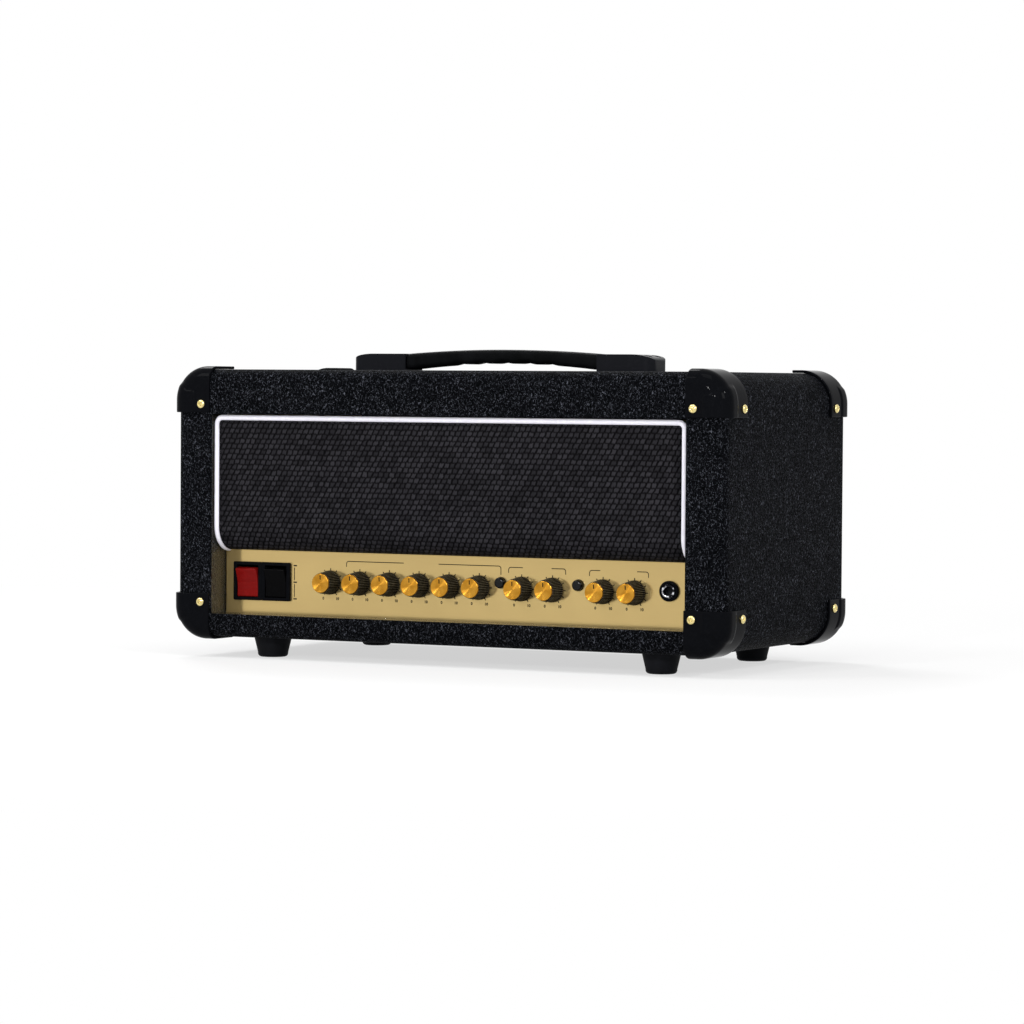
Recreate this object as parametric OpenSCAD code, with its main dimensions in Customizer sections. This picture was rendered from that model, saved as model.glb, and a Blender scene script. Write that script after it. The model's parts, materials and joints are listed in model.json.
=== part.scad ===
// Guitar amplifier head: a finger-jointed box covered in vinyl, with a cloth fret above a
// control panel, and a valve chassis that slides in from the back.
// Millimetres. +Z is up, the front faces -Y, and z = 0 is the plane that the feet rest on.

/* [Cabinet] */
// Width of the box over its covering
case_w = 495; // [480:1:640]
// Depth of the box over its covering
case_d = 240; // [225:1:320]
// Height of the box over its covering, without the feet
case_h = 219; // [205:1:300]
// Radius of the four long edges that run from front to back
corner_r = 25; // [12:1:32]
// Radius of the edges round the front and the back
edge_r = 10; // [4:1:12]
// Thickness of the wooden boards
board_t = 17; // [14:0.5:19]
// Thickness of the vinyl covering
cover_t = 1; // [0.6:0.1:1.5]
// Number of fingers in each corner joint
fingers = 7; // [5:2:11]
// Width of each stile beside the front and rear openings, over the covering
stile_w = 33.5; // [30:0.5:40]
// Height of the rail above the openings, over the covering
top_rail_h = 36.5; // [30:0.5:45]
// Depth of the wooden stiles and rails behind the front face
frame_depth = 24; // [16:1:24]
// Depth of the rear stiles and rail
rear_frame_depth = 14; // [10:1:20]
// Width of the cleats that the fret and the rear grille are screwed to
cleat_w = 29; // [22:1:34]
// Thickness of the cleats
cleat_t = 15; // [10:1:20]

/* [Corner protectors] */
// Thickness of the plastic protectors
prot_t = 2.5; // [1.5:0.1:3]
// Reach of a protector along the width
prot_leg_x = 35.5; // [33:0.5:40]
// Reach of a protector along the depth
prot_leg_y = 40; // [36:0.5:45]
// Reach of a protector along the height
prot_leg_z = 38; // [36:0.5:45]
// Distance of each screw from the protector's outer side face
prot_screw_x = 28.3; // [26:0.1:30]
// Distance of each screw from the protector's outer front or rear face
prot_screw_y = 31.8; // [29:0.1:34]
// Distance of each screw from the protector's outer top or bottom face
prot_screw_z = 31; // [29:0.1:33]
// Diameter of the protector screw heads
prot_head_d = 7.2; // [5:0.1:8]
// Height of the protector screw heads
prot_head_h = 2.4; // [1.5:0.1:3]
// Diameter of the protector screw shanks
prot_shank_d = 3.5; // [2.5:0.1:4]
// Length of the protector screws below their heads
prot_shank_l = 14; // [10:1:16]

/* [Feet] */
// Height of the rubber feet
foot_h = 17; // [12:1:30]
// Diameter of a foot where it meets the box
foot_top_d = 31; // [28:0.5:40]
// Diameter of a foot at its base, before its edge is rounded
foot_base_d = 25; // [22:0.5:30]
// Radius of the edge round a foot's base
foot_edge_r = 3; // [1:0.5:4]
// Distance of the foot centres from the sides of the box
foot_inset_x = 70.5; // [55:0.5:110]
// Distance of the front foot centres from the front of the box
foot_inset_front = 39; // [24:0.5:50]
// Distance of the rear foot centres from the back of the box
foot_inset_back = 28; // [24:0.5:50]
// Diameter of the foot screw shanks
foot_screw_d = 4.5; // [3:0.1:6]

/* [Handle] */
// Length of the handle over its end caps
handle_l = 276.5; // [230:0.5:320]
// Length of each end cap
cap_l = 50; // [44:1:60]
// Width of the end caps
cap_w = 30; // [28:0.5:40]
// Height of the end caps
cap_h = 14; // [13:0.5:20]
// Distance of the handle's middle line in front of the box's
handle_ahead = 5.5; // [0:0.5:12]
// Width of the strap
strap_w = 24; // [18:0.5:26]
// Rise of the strap's top above the end caps at mid length
strap_rise = 3.5; // [1:0.5:8]
// Thickness of the strap at mid length
strap_t = 11.4; // [9:0.2:12.4]
// How much lower the strap's underside is at its ends than at mid length
strap_drop = 5; // [3:0.5:6]
// Spacing of the finger grooves under the strap
groove_pitch = 21; // [18:0.5:24]
// Depth of the finger grooves
groove_depth = 1.2; // [0.4:0.1:1.4]
// How far the strap lifts in its end caps
strap_lift = 4; // [2:0.5:4]
// Thickness of the tongue at each end of the strap
tongue_t = 5; // [4:0.1:5.4]
// Thickness of the steel strip inside the strap
core_t = 1.6; // [1:0.1:2.5]

/* [Fret] */
// Recess of the grille cloth behind the front of the box
fret_recess = 5; // [3:0.5:9]
// Thickness of the grille cloth
cloth_t = 0.6; // [0.4:0.1:1]
// Diameter of the piping
piping_d = 4.5; // [3.5:0.1:5]
// Gap between the piping and the opening
piping_gap = 0.7; // [0.3:0.1:1]
// Radius of the piping's centre line in the two upper corners
piping_bend_r = 5; // [3.5:0.5:8]
// Visible height of the control panel below the fret
panel_view_h = 52; // [48:1:62]

/* [Chassis] */
// Recess of the control panel behind the front of the box
panel_recess = 25; // [25:1:30]
// Thickness of the control panel
panel_t = 1.5; // [1:0.1:2]
// Thickness of the chassis steel
chassis_t = 1.5; // [1:0.1:2]
// Recess of the chassis behind the back of the box
back_recess = 15; // [15:1:25]
// How far the chassis reaches up behind the fret
fret_overlap = 5; // [3:0.5:8]
// Gap between the chassis and the opening that it slides through, on each side
slide_gap = 0.3; // [0.2:0.1:1]
// Width of the chassis's lower flanges
flange_w = 18; // [14:1:24]
// Distance of the chassis bolts from the sides of the chassis
bolt_inset_x = 10.7; // [8:0.1:12]
// Distance of the chassis bolts from the front and back of the chassis
bolt_inset_y = 36; // [26:1:60]
// Diameter of the chassis bolts
bolt_d = 5; // [4:0.5:6]
// Thickness of the rear panel plate
rear_plate_t = 1.2; // [0.8:0.1:2]
// Thickness of the rear grille
grille_t = 1.2; // [0.8:0.1:2]

/* [Controls] */
// Height of the knob row above the visible lower edge of the control panel
knob_row_h = 27.3; // [24:0.1:30]
// Spacing of neighbouring knobs, in percent of the opening's width
knob_step = 6.4; // [6:0.05:6.5]
// Place of the first knob of the group of six, in percent of the opening's width
knobs_a_place = 23.25; // [23:0.05:24.5]
// Place of the first knob of the second group, in percent of the opening's width
knobs_b_place = 64.15; // [63.8:0.05:64.5]
// Place of the first knob of the third group, in percent of the opening's width
knobs_c_place = 80.95; // [80.4:0.05:81.3]
// Diameter of a knob's skirt at its base
knob_base_d = 19.6; // [16:0.1:21]
// Diameter of a knob's skirt at its front
knob_top_d = 16.8; // [14:0.1:18]
// Diameter of a knob's cap
knob_cap_d = 15.6; // [12:0.1:16]
// Height of a knob, over its cap
knob_h = 16.3; // [14:0.1:20]
// Gap between a knob and the control panel
knob_gap = 0.8; // [0.5:0.1:1.2]
// Diameter of the potentiometer shafts
shaft_d = 6; // [6:0.1:6.4]
// Radial clearance of each shaft in its bushing
shaft_clear = 0.05; // [0.02:0.01:0.1]
// Diameter of the threaded bushings
bushing_d = 7.6; // [7.4:0.1:8]
// Diameter of the potentiometer bodies
pot_d = 17; // [12:0.5:20]
// Depth of the potentiometer bodies
pot_l = 10; // [8:0.5:12]
// Turn of a knob from the middle to either end
knob_turn = 150; // [120:1:150]
// Diameter of the push buttons
button_d = 8.8; // [6:0.1:9.5]
// Height of the push buttons above the panel
button_h = 4; // [3:0.1:6]
// Travel of the push buttons
button_travel = 2.5; // [1.5:0.1:2.5]
// Height of the push buttons above the visible lower edge of the control panel
button_row_h = 31.7; // [29:0.1:34]
// Place of the first push button, in percent of the opening's width
button_a_place = 59.8; // [59.5:0.05:60]
// Place of the second push button, in percent of the opening's width
button_b_place = 75.9; // [75.5:0.05:76.1]
// Gap round each push button
button_gap = 0.35; // [0.2:0.05:0.5]

/* [Rocker switches] */
// Width of each switch bezel
bezel_w = 26.8; // [25.6:0.1:28]
// Height of each switch bezel
bezel_h = 31.6; // [31:0.1:34]
// Height of the bezels above the panel
bezel_t = 2.2; // [1.5:0.1:3]
// Distance of the two switches' shared edge from the left end of the opening
switch_inset = 35.2; // [32:0.1:40]
// Height of the switches above the visible lower edge of the control panel
switch_row_h = 26.5; // [24:0.1:28]
// Width of the rockers
rocker_w = 19.6; // [17:0.1:20]
// Half height of the rockers' front edges
rocker_half_h = 11.3; // [10:0.1:11.4]
// Tilt of a rocker from its middle to either side
rocker_tilt = 9; // [6:0.5:10]
// Distance of the rockers' pivots behind the bezel's front
pivot_depth = 7.6; // [7.2:0.1:8.4]
// Diameter of the rockers' pivot pins
pivot_d = 3; // [2:0.1:4]
// Gap between a rocker and its bezel
rocker_gap = 0.4; // [0.3:0.1:0.6]

/* [Jacks] */
// Radius of the hole that a 6.35 mm plug goes into
jack_bore_r = 3.25; // [3.2:0.01:3.3]
// Diameter of the jacks' metal bushings
jack_bush_d = 11.8; // [9:0.1:12.4]
// Diameter of the jack nuts
jack_nut_d = 16.2; // [14:0.1:18]
// Height of the jack nuts
jack_nut_h = 3; // [2:0.1:4]
// Distance of the input jack from the right end of the opening
jack_inset = 23.7; // [20:0.1:30]
// Height of the input jack above the visible lower edge of the control panel
jack_row_h = 29.5; // [26:0.1:32]
// Spacing of the rear jacks
rear_jack_pitch = 25; // [20:0.5:27]
// Distance of the last rear jack from the side of the chassis
rear_jack_inset = 43.7; // [30:0.1:48]
// Width and height of a jack's plastic body
jack_body_w = 16; // [14:0.5:18]
// Depth of a jack's plastic body behind the steel
jack_body_l = 27; // [27:0.5:29]

/* [Mains] */
// Distance of the mains inlet from the side of the chassis
inlet_inset = 48.7; // [38:0.1:60]
// Width of the socket in the mains inlet
inlet_w = 24; // [23:0.1:25]
// Height of the socket in the mains inlet
inlet_h = 16.5; // [16:0.1:17]
// Depth of the socket in the mains inlet
inlet_depth = 16; // [15:0.5:17]
// Wall of the mains inlet
inlet_wall = 2; // [1.5:0.1:2.5]
// Distance of the fuse holder from the side of the chassis
fuse_inset = 98.7; // [94:0.1:108]
// Diameter of the fuse holder's body
fuse_d = 12; // [10:0.5:13]
// Diameter of the fuse holder's cap
fuse_cap_d = 15; // [14:0.5:18]

/* [Inside] */
// Height of the main circuit board below the chassis deck
board_drop = 16; // [12:0.5:18]
// Thickness of the circuit boards
pcb_t = 1.6; // [1:0.1:2]
// Unit of the mains transformer's laminations, a sixth of the core's width
mains_core_u = 14.3; // [12:0.1:16]
// Thickness of the mains transformer's stack
mains_stack = 48; // [36:1:56]
// Unit of the output transformer's laminations
output_core_u = 11; // [9:0.1:12]
// Thickness of the output transformer's stack
output_stack = 36; // [28:1:44]
// Place of the mains transformer, in percent of the opening's width
mains_core_place = 14; // [13:0.5:15]
// Place of the output transformer, in percent of the opening's width
output_core_place = 33; // [32:0.5:34]
// Diameter of a power valve's bulb
power_bulb_d = 32; // [28:0.5:34]
// Height of a power valve above its socket
power_valve_h = 92; // [80:1:96]
// Spacing of the power valves, in percent of the opening's width
power_step = 12.2; // [11.8:0.1:12.6]
// Place of the first power valve, in percent of the opening's width
power_place = 47; // [46.5:0.1:47.2]
// Diameter of a preamp valve's bulb
preamp_bulb_d = 21; // [18:0.5:22]
// Height of a preamp valve above its socket
preamp_valve_h = 50; // [44:1:56]
// Spacing of the preamp valves, in percent of the opening's width
preamp_step = 7.5; // [7:0.1:8]
// Place of the first preamp valve, in percent of the opening's width
preamp_place = 68.5; // [68.2:0.1:70]
// Diameter of the filter capacitors
capacitor_d = 18; // [12:0.5:22]
// Length of the filter capacitors
capacitor_l = 32; // [24:1:34]

/* [Hidden] */
$fn = 64;

// Faces and levels of the box
front_y = -case_d / 2;
back_y = case_d / 2;
case_top = foot_h + case_h;
wood_x = case_w / 2 - cover_t;
inner_x = wood_x - board_t;
floor_z = foot_h + cover_t + board_t;
ceiling_z = case_top - cover_t - board_t;
wood_front = front_y + cover_t;
wood_back = back_y - cover_t;
cut = 1;

// The opening in the front and the one in the back have the same width and height
open_x = case_w / 2 - stile_w;
open_bottom = floor_z + cover_t;
open_top = case_top - top_rail_h;

// Faces of the fret, the control panel and the chassis
panel_y = front_y + panel_recess;
wall_y = panel_y + panel_t;
wall_inner_y = wall_y + chassis_t;
chassis_back = back_y - back_recess;
chassis_x = open_x - slide_gap;
fret_bottom = open_bottom + panel_view_h;
deck_z = fret_bottom + fret_overlap;
fret_front = front_y + fret_recess;
frame_back = wood_front + frame_depth;
rear_frame_front = wood_back - rear_frame_depth;
rear_face = chassis_back + rear_plate_t;

// Place along the width from its share of the opening's width, in percent
function along(percent) = open_x * (percent / 50 - 1);

// Rows on the control panel
knob_z = open_bottom + knob_row_h;
button_z = open_bottom + button_row_h;
switch_z = open_bottom + switch_row_h;
jack_z = open_bottom + jack_row_h;
knob_xs = concat(
    [for (i = [0:5]) along(knobs_a_place + i * knob_step)],
    [for (i = [0:1]) along(knobs_b_place + i * knob_step)],
    [for (i = [0:1]) along(knobs_c_place + i * knob_step)]
);
button_a_x = along(button_a_place);
button_b_x = along(button_b_place);
button_xs = [button_a_x, button_b_x];
switch_mid_x = -open_x + switch_inset;
power_x = switch_mid_x - bezel_w / 2;
output_x = switch_mid_x + bezel_w / 2;
jack_x = open_x - jack_inset;

// Rows on the rear panel
rear_row_h = 29;
rear_row_z = floor_z + rear_row_h;
rear_jack_xs = [for (i = [0:6]) chassis_x - rear_jack_inset - i * rear_jack_pitch];
inlet_x = inlet_inset - chassis_x;
fuse_x = fuse_inset - chassis_x;

// Inside
board_z = deck_z - board_drop;
valve_y = 15;
mains_core_x = along(mains_core_place);
output_core_x = along(output_core_place);
power_xs = [for (i = [0:1]) along(power_place + i * power_step)];
preamp_xs = [for (i = [0:2]) along(preamp_place + i * preamp_step)];
cleat_bottom = deck_z + 4;

// ---------------------------------------------------------------- shared shapes

// Half outline of a box's section from front to back, with its two outer edges rounded
module half_section(reach, depth, edge) {
    translate([0, -depth / 2]) square([reach - edge, depth]);
    translate([0, -depth / 2 + edge]) square([reach, depth - 2 * edge]);
    for (s = [-1, 1]) intersection() {
        translate([reach - edge, s * (depth / 2 - edge)]) circle(edge);
        translate([0, -depth]) square([2 * reach, 2 * depth]);
    }
}

// Rectangle with rounded corners, centred
module round_rect(w, h, r) {
    square([w - 2 * r, h], center = true);
    square([w, h - 2 * r], center = true);
    for (sx = [-1, 1], sy = [-1, 1])
        translate([sx * (w / 2 - r), sy * (h / 2 - r)]) circle(r);
}

// Box that stands on z = 0, with its four long edges and its front and back edges rounded
module rounded_case(w, d, h, long_r, edge) {
    rotate([90, 0, 90]) translate([0, h / 2, long_r - w / 2])
        linear_extrude(w - 2 * long_r) round_rect(d, h, edge);
    translate([0, 0, long_r]) linear_extrude(h - 2 * long_r) round_rect(w, d, edge);
    for (quarter = [0:3])
        translate([
            (quarter == 0 || quarter == 3 ? 1 : -1) * (w / 2 - long_r), 0,
            quarter < 2 ? long_r : h - long_r
        ])
            rotate([0, quarter * 90, 0]) rotate([-90, 0, 0])
                rotate_extrude(angle = 90) half_section(long_r, d, edge);
}

// The box grown by a margin on every side; a negative margin shrinks it
module case_solid(margin) {
    translate([0, 0, foot_h - margin])
        rounded_case(
            case_w + 2 * margin, case_d + 2 * margin, case_h + 2 * margin,
            corner_r + margin, edge_r + margin
        );
}

// Box between two corners
module span(low, high) {
    translate(low) cube(high - low);
}

// Cylinder along +Y from y = 0
module rod_y(r, l) {
    rotate([-90, 0, 0]) cylinder(r = r, h = l);
}

// Rectangular tube of the given wall round the openings, between two planes
module opening_frame(y0, y1, wall) {
    difference() {
        span([-open_x - wall, y0, open_bottom - wall], [open_x + wall, y1, open_top + wall]);
        span([-open_x, y0 - cut, open_bottom], [open_x, y1 + cut, open_top]);
    }
}

// ---------------------------------------------------------------- screws of the box

// Children at each protector screw, with +Z pointing out of the box
module at_protector_screws() {
    x = case_w / 2 + prot_t - prot_screw_x;
    y = case_d / 2 + prot_t - prot_screw_y;
    z_low = foot_h - prot_t + prot_screw_z;
    z_high = case_top + prot_t - prot_screw_z;
    for (sx = [-1, 1], sy = [-1, 1], high = [false, true]) {
        z = high ? z_high : z_low;
        translate([sx * x, sy * case_d / 2, z]) rotate([-sy * 90, 0, 0]) children();
        translate([sx * case_w / 2, sy * y, z]) rotate([0, sx * 90, 0]) children();
    }
}

// Children at the centre of each foot, on the underside of the box
module at_feet() {
    for (sx = [-1, 1], y = [front_y + foot_inset_front, back_y - foot_inset_back])
        translate([sx * (case_w / 2 - foot_inset_x), y, foot_h]) children();
}

// Children at each handle screw, on top of the box
module at_handle_screws() {
    for (sx = [-1, 1], sy = [-1, 1])
        translate([sx * (handle_l / 2 - handle_screw_end), sy * cap_w / 4 - handle_ahead, case_top])
            children();
}

// Children at each chassis bolt, on the inside of the bottom board
module at_chassis_bolts() {
    for (sx = [-1, 1], y = [wall_y + bolt_inset_y, chassis_back - bolt_inset_y])
        translate([sx * (chassis_x - bolt_inset_x), y, floor_z]) children();
}

foot_screw_l = 12;
handle_screw_end = 7.5;
handle_screw_d = 4;
handle_screw_l = 14;
handle_head_d = 7;
handle_head_h = 2.6;
head_sink = 2.4;
hole_gap = 0.05;

// Every screw hole in the boards and the covering
module box_holes() {
    at_protector_screws() translate([0, 0, prot_t - prot_shank_l - cut])
        cylinder(r = prot_shank_d / 2 + hole_gap, h = prot_shank_l + 2 * cut);
    at_feet() translate([0, 0, -cut])
        cylinder(r = foot_screw_d / 2 + hole_gap, h = foot_screw_l + 2 * cut);
    at_handle_screws() translate([0, 0, -handle_screw_l - cut])
        cylinder(r = handle_screw_d / 2 + hole_gap, h = handle_screw_l + 2 * cut);
    at_chassis_bolts() translate([0, 0, foot_h - floor_z - cut])
        cylinder(r = bolt_d / 2 + hole_gap, h = board_t + cover_t + 2 * cut);
}

// ---------------------------------------------------------------- wooden box

// Blocks of every second finger, where a joint's boards cross
module finger_blocks(first, x0, x1, z0, z1) {
    pitch = (wood_back - wood_front) / fingers;
    for (i = [first:2:fingers - 1])
        span([x0, wood_front + i * pitch, z0], [x1, wood_front + (i + 1) * pitch, z1]);
}

// A level board: its middle, and its fingers at both ends
module level_board(z0, z1) {
    difference() {
        intersection() {
            case_solid(-cover_t);
            union() {
                span([-inner_x, wood_front - cut, z0], [inner_x, wood_back + cut, z1]);
                finger_blocks(0, inner_x - cut, wood_x + cut, z0, z1);
                finger_blocks(0, -wood_x - cut, -inner_x + cut, z0, z1);
            }
        }
        box_holes();
    }
}

// An upright board on the right (side 1) or the left (side -1)
module side_board(side) {
    x0 = side > 0 ? inner_x : -wood_x - cut;
    x1 = side > 0 ? wood_x + cut : -inner_x;
    difference() {
        intersection() {
            case_solid(-cover_t);
            union() {
                span([x0, wood_front - cut, floor_z], [x1, wood_back + cut, ceiling_z]);
                finger_blocks(1, x0, x1, ceiling_z - cut, case_top);
                finger_blocks(1, x0, x1, foot_h, floor_z + cut);
            }
        }
        box_holes();
    }
}

module top_board() { color("burlywood") level_board(ceiling_z, case_top); }
module bottom_board() { color("burlywood") level_board(foot_h, floor_z); }
module left_board() { color("burlywood") side_board(-1); }
module right_board() { color("burlywood") side_board(1); }

// Two stiles and the rail between them, round one opening
module opening_battens(y0, y1) {
    difference() {
        union() {
            for (s = [-1, 1]) {
                x0 = s > 0 ? open_x + cover_t : -inner_x;
                span([x0, y0, floor_z], [x0 + inner_x - open_x - cover_t, y1, open_top + cover_t]);
            }
            span([-inner_x, y0, open_top + cover_t], [inner_x, y1, ceiling_z]);
        }
        box_holes();
    }
}

module front_frame() { color("burlywood") opening_battens(wood_front, frame_back); }
module rear_frame() { color("burlywood") opening_battens(rear_frame_front, wood_back); }

fret_screw_d = 3.5;
fret_screw_grip = 12;
grille_screw_d = 3.5;
grille_screw_l = 12;

// Children at each fret screw, on the back of the cleats, with +Z pointing backwards
module at_fret_screws() {
    for (sx = [-1, 1], t = [0.2, 0.8])
        translate([
            sx * (fret_half_w - 5), frame_back + cleat_t,
            cleat_bottom + t * (fret_top - cleat_bottom)
        ])
            rotate([-90, 0, 0]) children();
}

// Children at each screw of the rear grille, on the back of the cleats
module at_grille_screws() {
    for (sx = [-1, 1], t = [0.12, 0.5, 0.88])
        translate([
            sx * (open_x - 6), chassis_back,
            cleat_bottom + t * (open_top - cleat_bottom)
        ])
            rotate([-90, 0, 0]) children();
}

// Upright cleats: two behind the fret, two in front of the rear grille
module cleats() {
    color("burlywood") difference() {
        for (s = [-1, 1]) {
            x0 = s > 0 ? inner_x - cleat_w : -inner_x;
            span([x0, frame_back, cleat_bottom], [x0 + cleat_w, frame_back + cleat_t, ceiling_z]);
            span([x0, chassis_back - cleat_t, cleat_bottom], [x0 + cleat_w, chassis_back, ceiling_z]);
        }
        at_fret_screws() translate([0, 0, -cleat_t - cut])
            cylinder(r = fret_screw_d / 2 + hole_gap, h = cleat_t + 2 * cut);
        at_grille_screws() translate([0, 0, -grille_screw_l])
            cylinder(r = grille_screw_d / 2 + hole_gap, h = grille_screw_l + cut);
    }
}

// Vinyl skin over the box, wrapped into both openings
module covering() {
    color("black") difference() {
        union() {
            difference() {
                case_solid(0);
                case_solid(-cover_t);
            }
            opening_frame(wood_front - cover_t / 2, panel_y, cover_t);
            opening_frame(rear_face + slide_gap, wood_back + cover_t / 2, cover_t);
        }
        for (y = [front_y, back_y])
            span([-open_x, y - edge_r, open_bottom], [open_x, y + edge_r, open_top]);
        box_holes();
    }
}

// ---------------------------------------------------------------- corners, feet and handle

// Shell over each corner, cut off square at its three reaches
module corner_protectors() {
    x = case_w / 2 + prot_t;
    y = case_d / 2 + prot_t;
    color([0.06, 0.06, 0.07]) difference() {
        intersection() {
            difference() {
                case_solid(prot_t);
                case_solid(0);
            }
            for (sx = [-1, 1], sy = [-1, 1], high = [false, true])
                translate([sx * x, sy * y, high ? case_top + prot_t : foot_h - prot_t])
                    mirror([sx > 0 ? 1 : 0, 0, 0]) mirror([0, sy > 0 ? 1 : 0, 0])
                        mirror([0, 0, high ? 1 : 0])
                            cube([prot_leg_x, prot_leg_y, prot_leg_z]);
        }
        at_protector_screws() translate([0, 0, -cut])
            cylinder(r = prot_shank_d / 2 + hole_gap, h = prot_t + 2 * cut);
    }
}

// Pan head with a cross recess, standing on z = 0, and its shank below
module pan_screw(head_d, head_h, shank_d, shank_l) {
    slot = head_d * 0.12;
    difference() {
        rotate_extrude() intersection() {
            translate([0, head_h - head_d * 0.8]) circle(head_d * 0.8);
            square([head_d / 2, head_h]);
        }
        for (a = [0, 90]) rotate([0, 0, a])
            translate([-head_d / 4, -slot / 2, head_h * 0.55]) cube([head_d / 2, slot, head_h]);
    }
    translate([0, 0, -shank_l]) cylinder(d = shank_d, h = shank_l + 0.2);
}

module protector_screws() {
    color([0.85, 0.7, 0.4]) at_protector_screws() translate([0, 0, prot_t])
        pan_screw(prot_head_d, prot_head_h, prot_shank_d, prot_shank_l);
}

foot_recess_d = 11;
foot_recess_h = 9;

module rubber_feet() {
    top_r = foot_top_d / 2;
    base_r = foot_base_d / 2;
    color([0.05, 0.05, 0.05]) at_feet() mirror([0, 0, 1]) difference() {
        rotate_extrude() union() {
            polygon([
                [0, 0], [top_r, 0], [base_r, foot_h - foot_edge_r],
                [base_r - foot_edge_r, foot_h - foot_edge_r], [base_r - foot_edge_r, foot_h],
                [0, foot_h]
            ]);
            intersection() {
                translate([base_r - foot_edge_r, foot_h - foot_edge_r]) circle(foot_edge_r);
                translate([0, foot_h - foot_edge_r]) square(top_r);
            }
        }
        translate([0, 0, -cut]) cylinder(r = foot_screw_d / 2 + hole_gap, h = foot_h + 2 * cut);
        translate([0, 0, foot_h - foot_recess_h]) cylinder(d = foot_recess_d, h = foot_h);
    }
}

module foot_screws() {
    color("silver") at_feet() translate([0, 0, foot_recess_h - foot_h]) mirror([0, 0, 1])
        pan_screw(foot_recess_d - 2, 3, foot_screw_d, foot_h - foot_recess_h + foot_screw_l);
}

// Inside of the end caps: floor, roof and side walls
cap_floor = 1.6;
cap_roof = 2.4;
cap_wall = 2;
cap_block = 15;
cap_plan_r = 8;
cap_crown_l = 20;
cap_crown_h = 5.5;
cap_crown_steps = 12;
mouth_gap = 0.5;

// Length of the hollow in each end cap
cap_hollow = cap_l - cap_block;

// One end cap, with its open mouth at x = 0 and its closed end, sloped to an oval, at +X
module end_cap() {
    difference() {
        intersection() {
            linear_extrude(cap_h) union() {
                translate([0, -cap_w / 2]) square([cap_l - cap_plan_r, cap_w]);
                translate([0, -cap_w / 2 + cap_plan_r]) square([cap_l, cap_w - 2 * cap_plan_r]);
                for (s = [-1, 1])
                    translate([cap_l - cap_plan_r, s * (cap_w / 2 - cap_plan_r)]) circle(cap_plan_r);
            }
            rotate([90, 0, 0]) translate([0, 0, -cap_w]) linear_extrude(2 * cap_w) union() {
                square([cap_l - cap_crown_l, cap_h]);
                square([cap_l, cap_h - cap_crown_h]);
                translate([cap_l - cap_crown_l, cap_h - cap_crown_h]) polygon(concat(
                    [[-1, -1], [cap_crown_l, -1]],
                    [for (i = [0:cap_crown_steps]) [
                        cap_crown_l * cos(90 * i / cap_crown_steps),
                        cap_crown_h * sin(90 * i / cap_crown_steps)
                    ]],
                    [[-1, cap_crown_h]]
                ));
            }
        }
        span([-cut, cap_wall - cap_w / 2, cap_floor], [cap_hollow, cap_w / 2 - cap_wall, cap_h - cap_roof]);
    }
}

// Places a child that points along +X at both ends of the handle
module at_handle_ends() {
    for (s = [0, 1]) mirror([s, 0, 0]) translate([handle_l / 2 - cap_l, -handle_ahead, case_top])
        children();
}

module handle_caps() {
    color([0.06, 0.06, 0.07]) difference() {
        at_handle_ends() end_cap();
        at_handle_screws() translate([0, 0, -cut]) {
            cylinder(r = handle_screw_d / 2 + hole_gap, h = cap_h + 2 * cut);
            translate([0, 0, cap_h - handle_head_h - head_sink + cut])
                cylinder(d = handle_head_d + 2 * tongue_gap, h = cap_h);
        }
    }
}

module handle_screws() {
    grip = cap_h - handle_head_h - head_sink;
    color("silver") at_handle_screws() translate([0, 0, grip])
        pan_screw(handle_head_d, handle_head_h, handle_screw_d, grip + handle_screw_l);
}

strap_half = handle_l / 2 - cap_l - mouth_gap;
strap_steps = 48;
core_steps = 24;
core_gap = 0.05;
grip_half = 2.5 * groove_pitch;
strap_clear = 0.6;
tongue_gap = 0.3;
tongue_end_gap = 2;
tongue_z = cap_floor + tongue_gap;
tongue_l = cap_hollow - tongue_end_gap;
tongue_step = 2;
core_end = 4;

// Height of the strap's top and underside above the box, at a distance from mid length
function strap_top(x) = cap_h + strap_rise * (1 - pow(x / strap_half, 2));
function strap_belly(x) = strap_top(0) - strap_t - strap_drop * pow(x / strap_half, 2);
function strap_groove(x) = abs(x) < grip_half ? groove_depth * pow(cos(180 * x / groove_pitch), 2) : 0;
function strap_under(x) = max(strap_clear, strap_belly(x) + strap_groove(x));

// Height of the middle of the steel strip above the box; it lies level in the tongues
function core_z(x) = tongue_z + tongue_t / 2
    + (strap_top(0) - strap_t / 2 - tongue_z - tongue_t / 2) * (1 - min(1, pow(x / strap_half, 2)));

// Steel strip inside the strap, arched with it, and level in both tongues
module strap_core(gap) {
    end_x = strap_half + tongue_l - core_end + gap;
    xs = concat(
        [-end_x], [for (i = [0:core_steps]) -strap_half + 2 * strap_half * i / core_steps], [end_x]
    );
    t = core_t / 2 + gap;
    translate([0, -handle_ahead, case_top]) rotate([90, 0, 0])
        linear_extrude(strap_w / 2 + 2 * gap, center = true) polygon(concat(
            [for (x = xs) [x, core_z(x) + t]],
            [for (i = [len(xs) - 1:-1:0]) [xs[i], core_z(xs[i]) - t]]
        ));
}

// Arched strap with finger grooves, and a tongue at each end that lies in an end cap
module handle_strap() {
    xs = [for (i = [0:strap_steps]) -strap_half + 2 * strap_half * i / strap_steps];
    outline = concat(
        [for (x = xs) [x, strap_top(x)]],
        [for (i = [strap_steps:-1:0]) [xs[i], strap_under(xs[i])]]
    );
    color([0.08, 0.08, 0.08]) difference() {
        translate([0, -handle_ahead, case_top]) union() {
            rotate([90, 0, 0]) linear_extrude(strap_w, center = true) polygon(outline);
            for (s = [0, 1]) mirror([s, 0, 0])
                span(
                    [strap_half - tongue_step, tongue_step - strap_w / 2, tongue_z],
                    [strap_half + tongue_l, strap_w / 2 - tongue_step, tongue_z + tongue_t]
                );
        }
        strap_core(core_gap);
    }
    color("silver") strap_core(0);
}

// ---------------------------------------------------------------- fret

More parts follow.
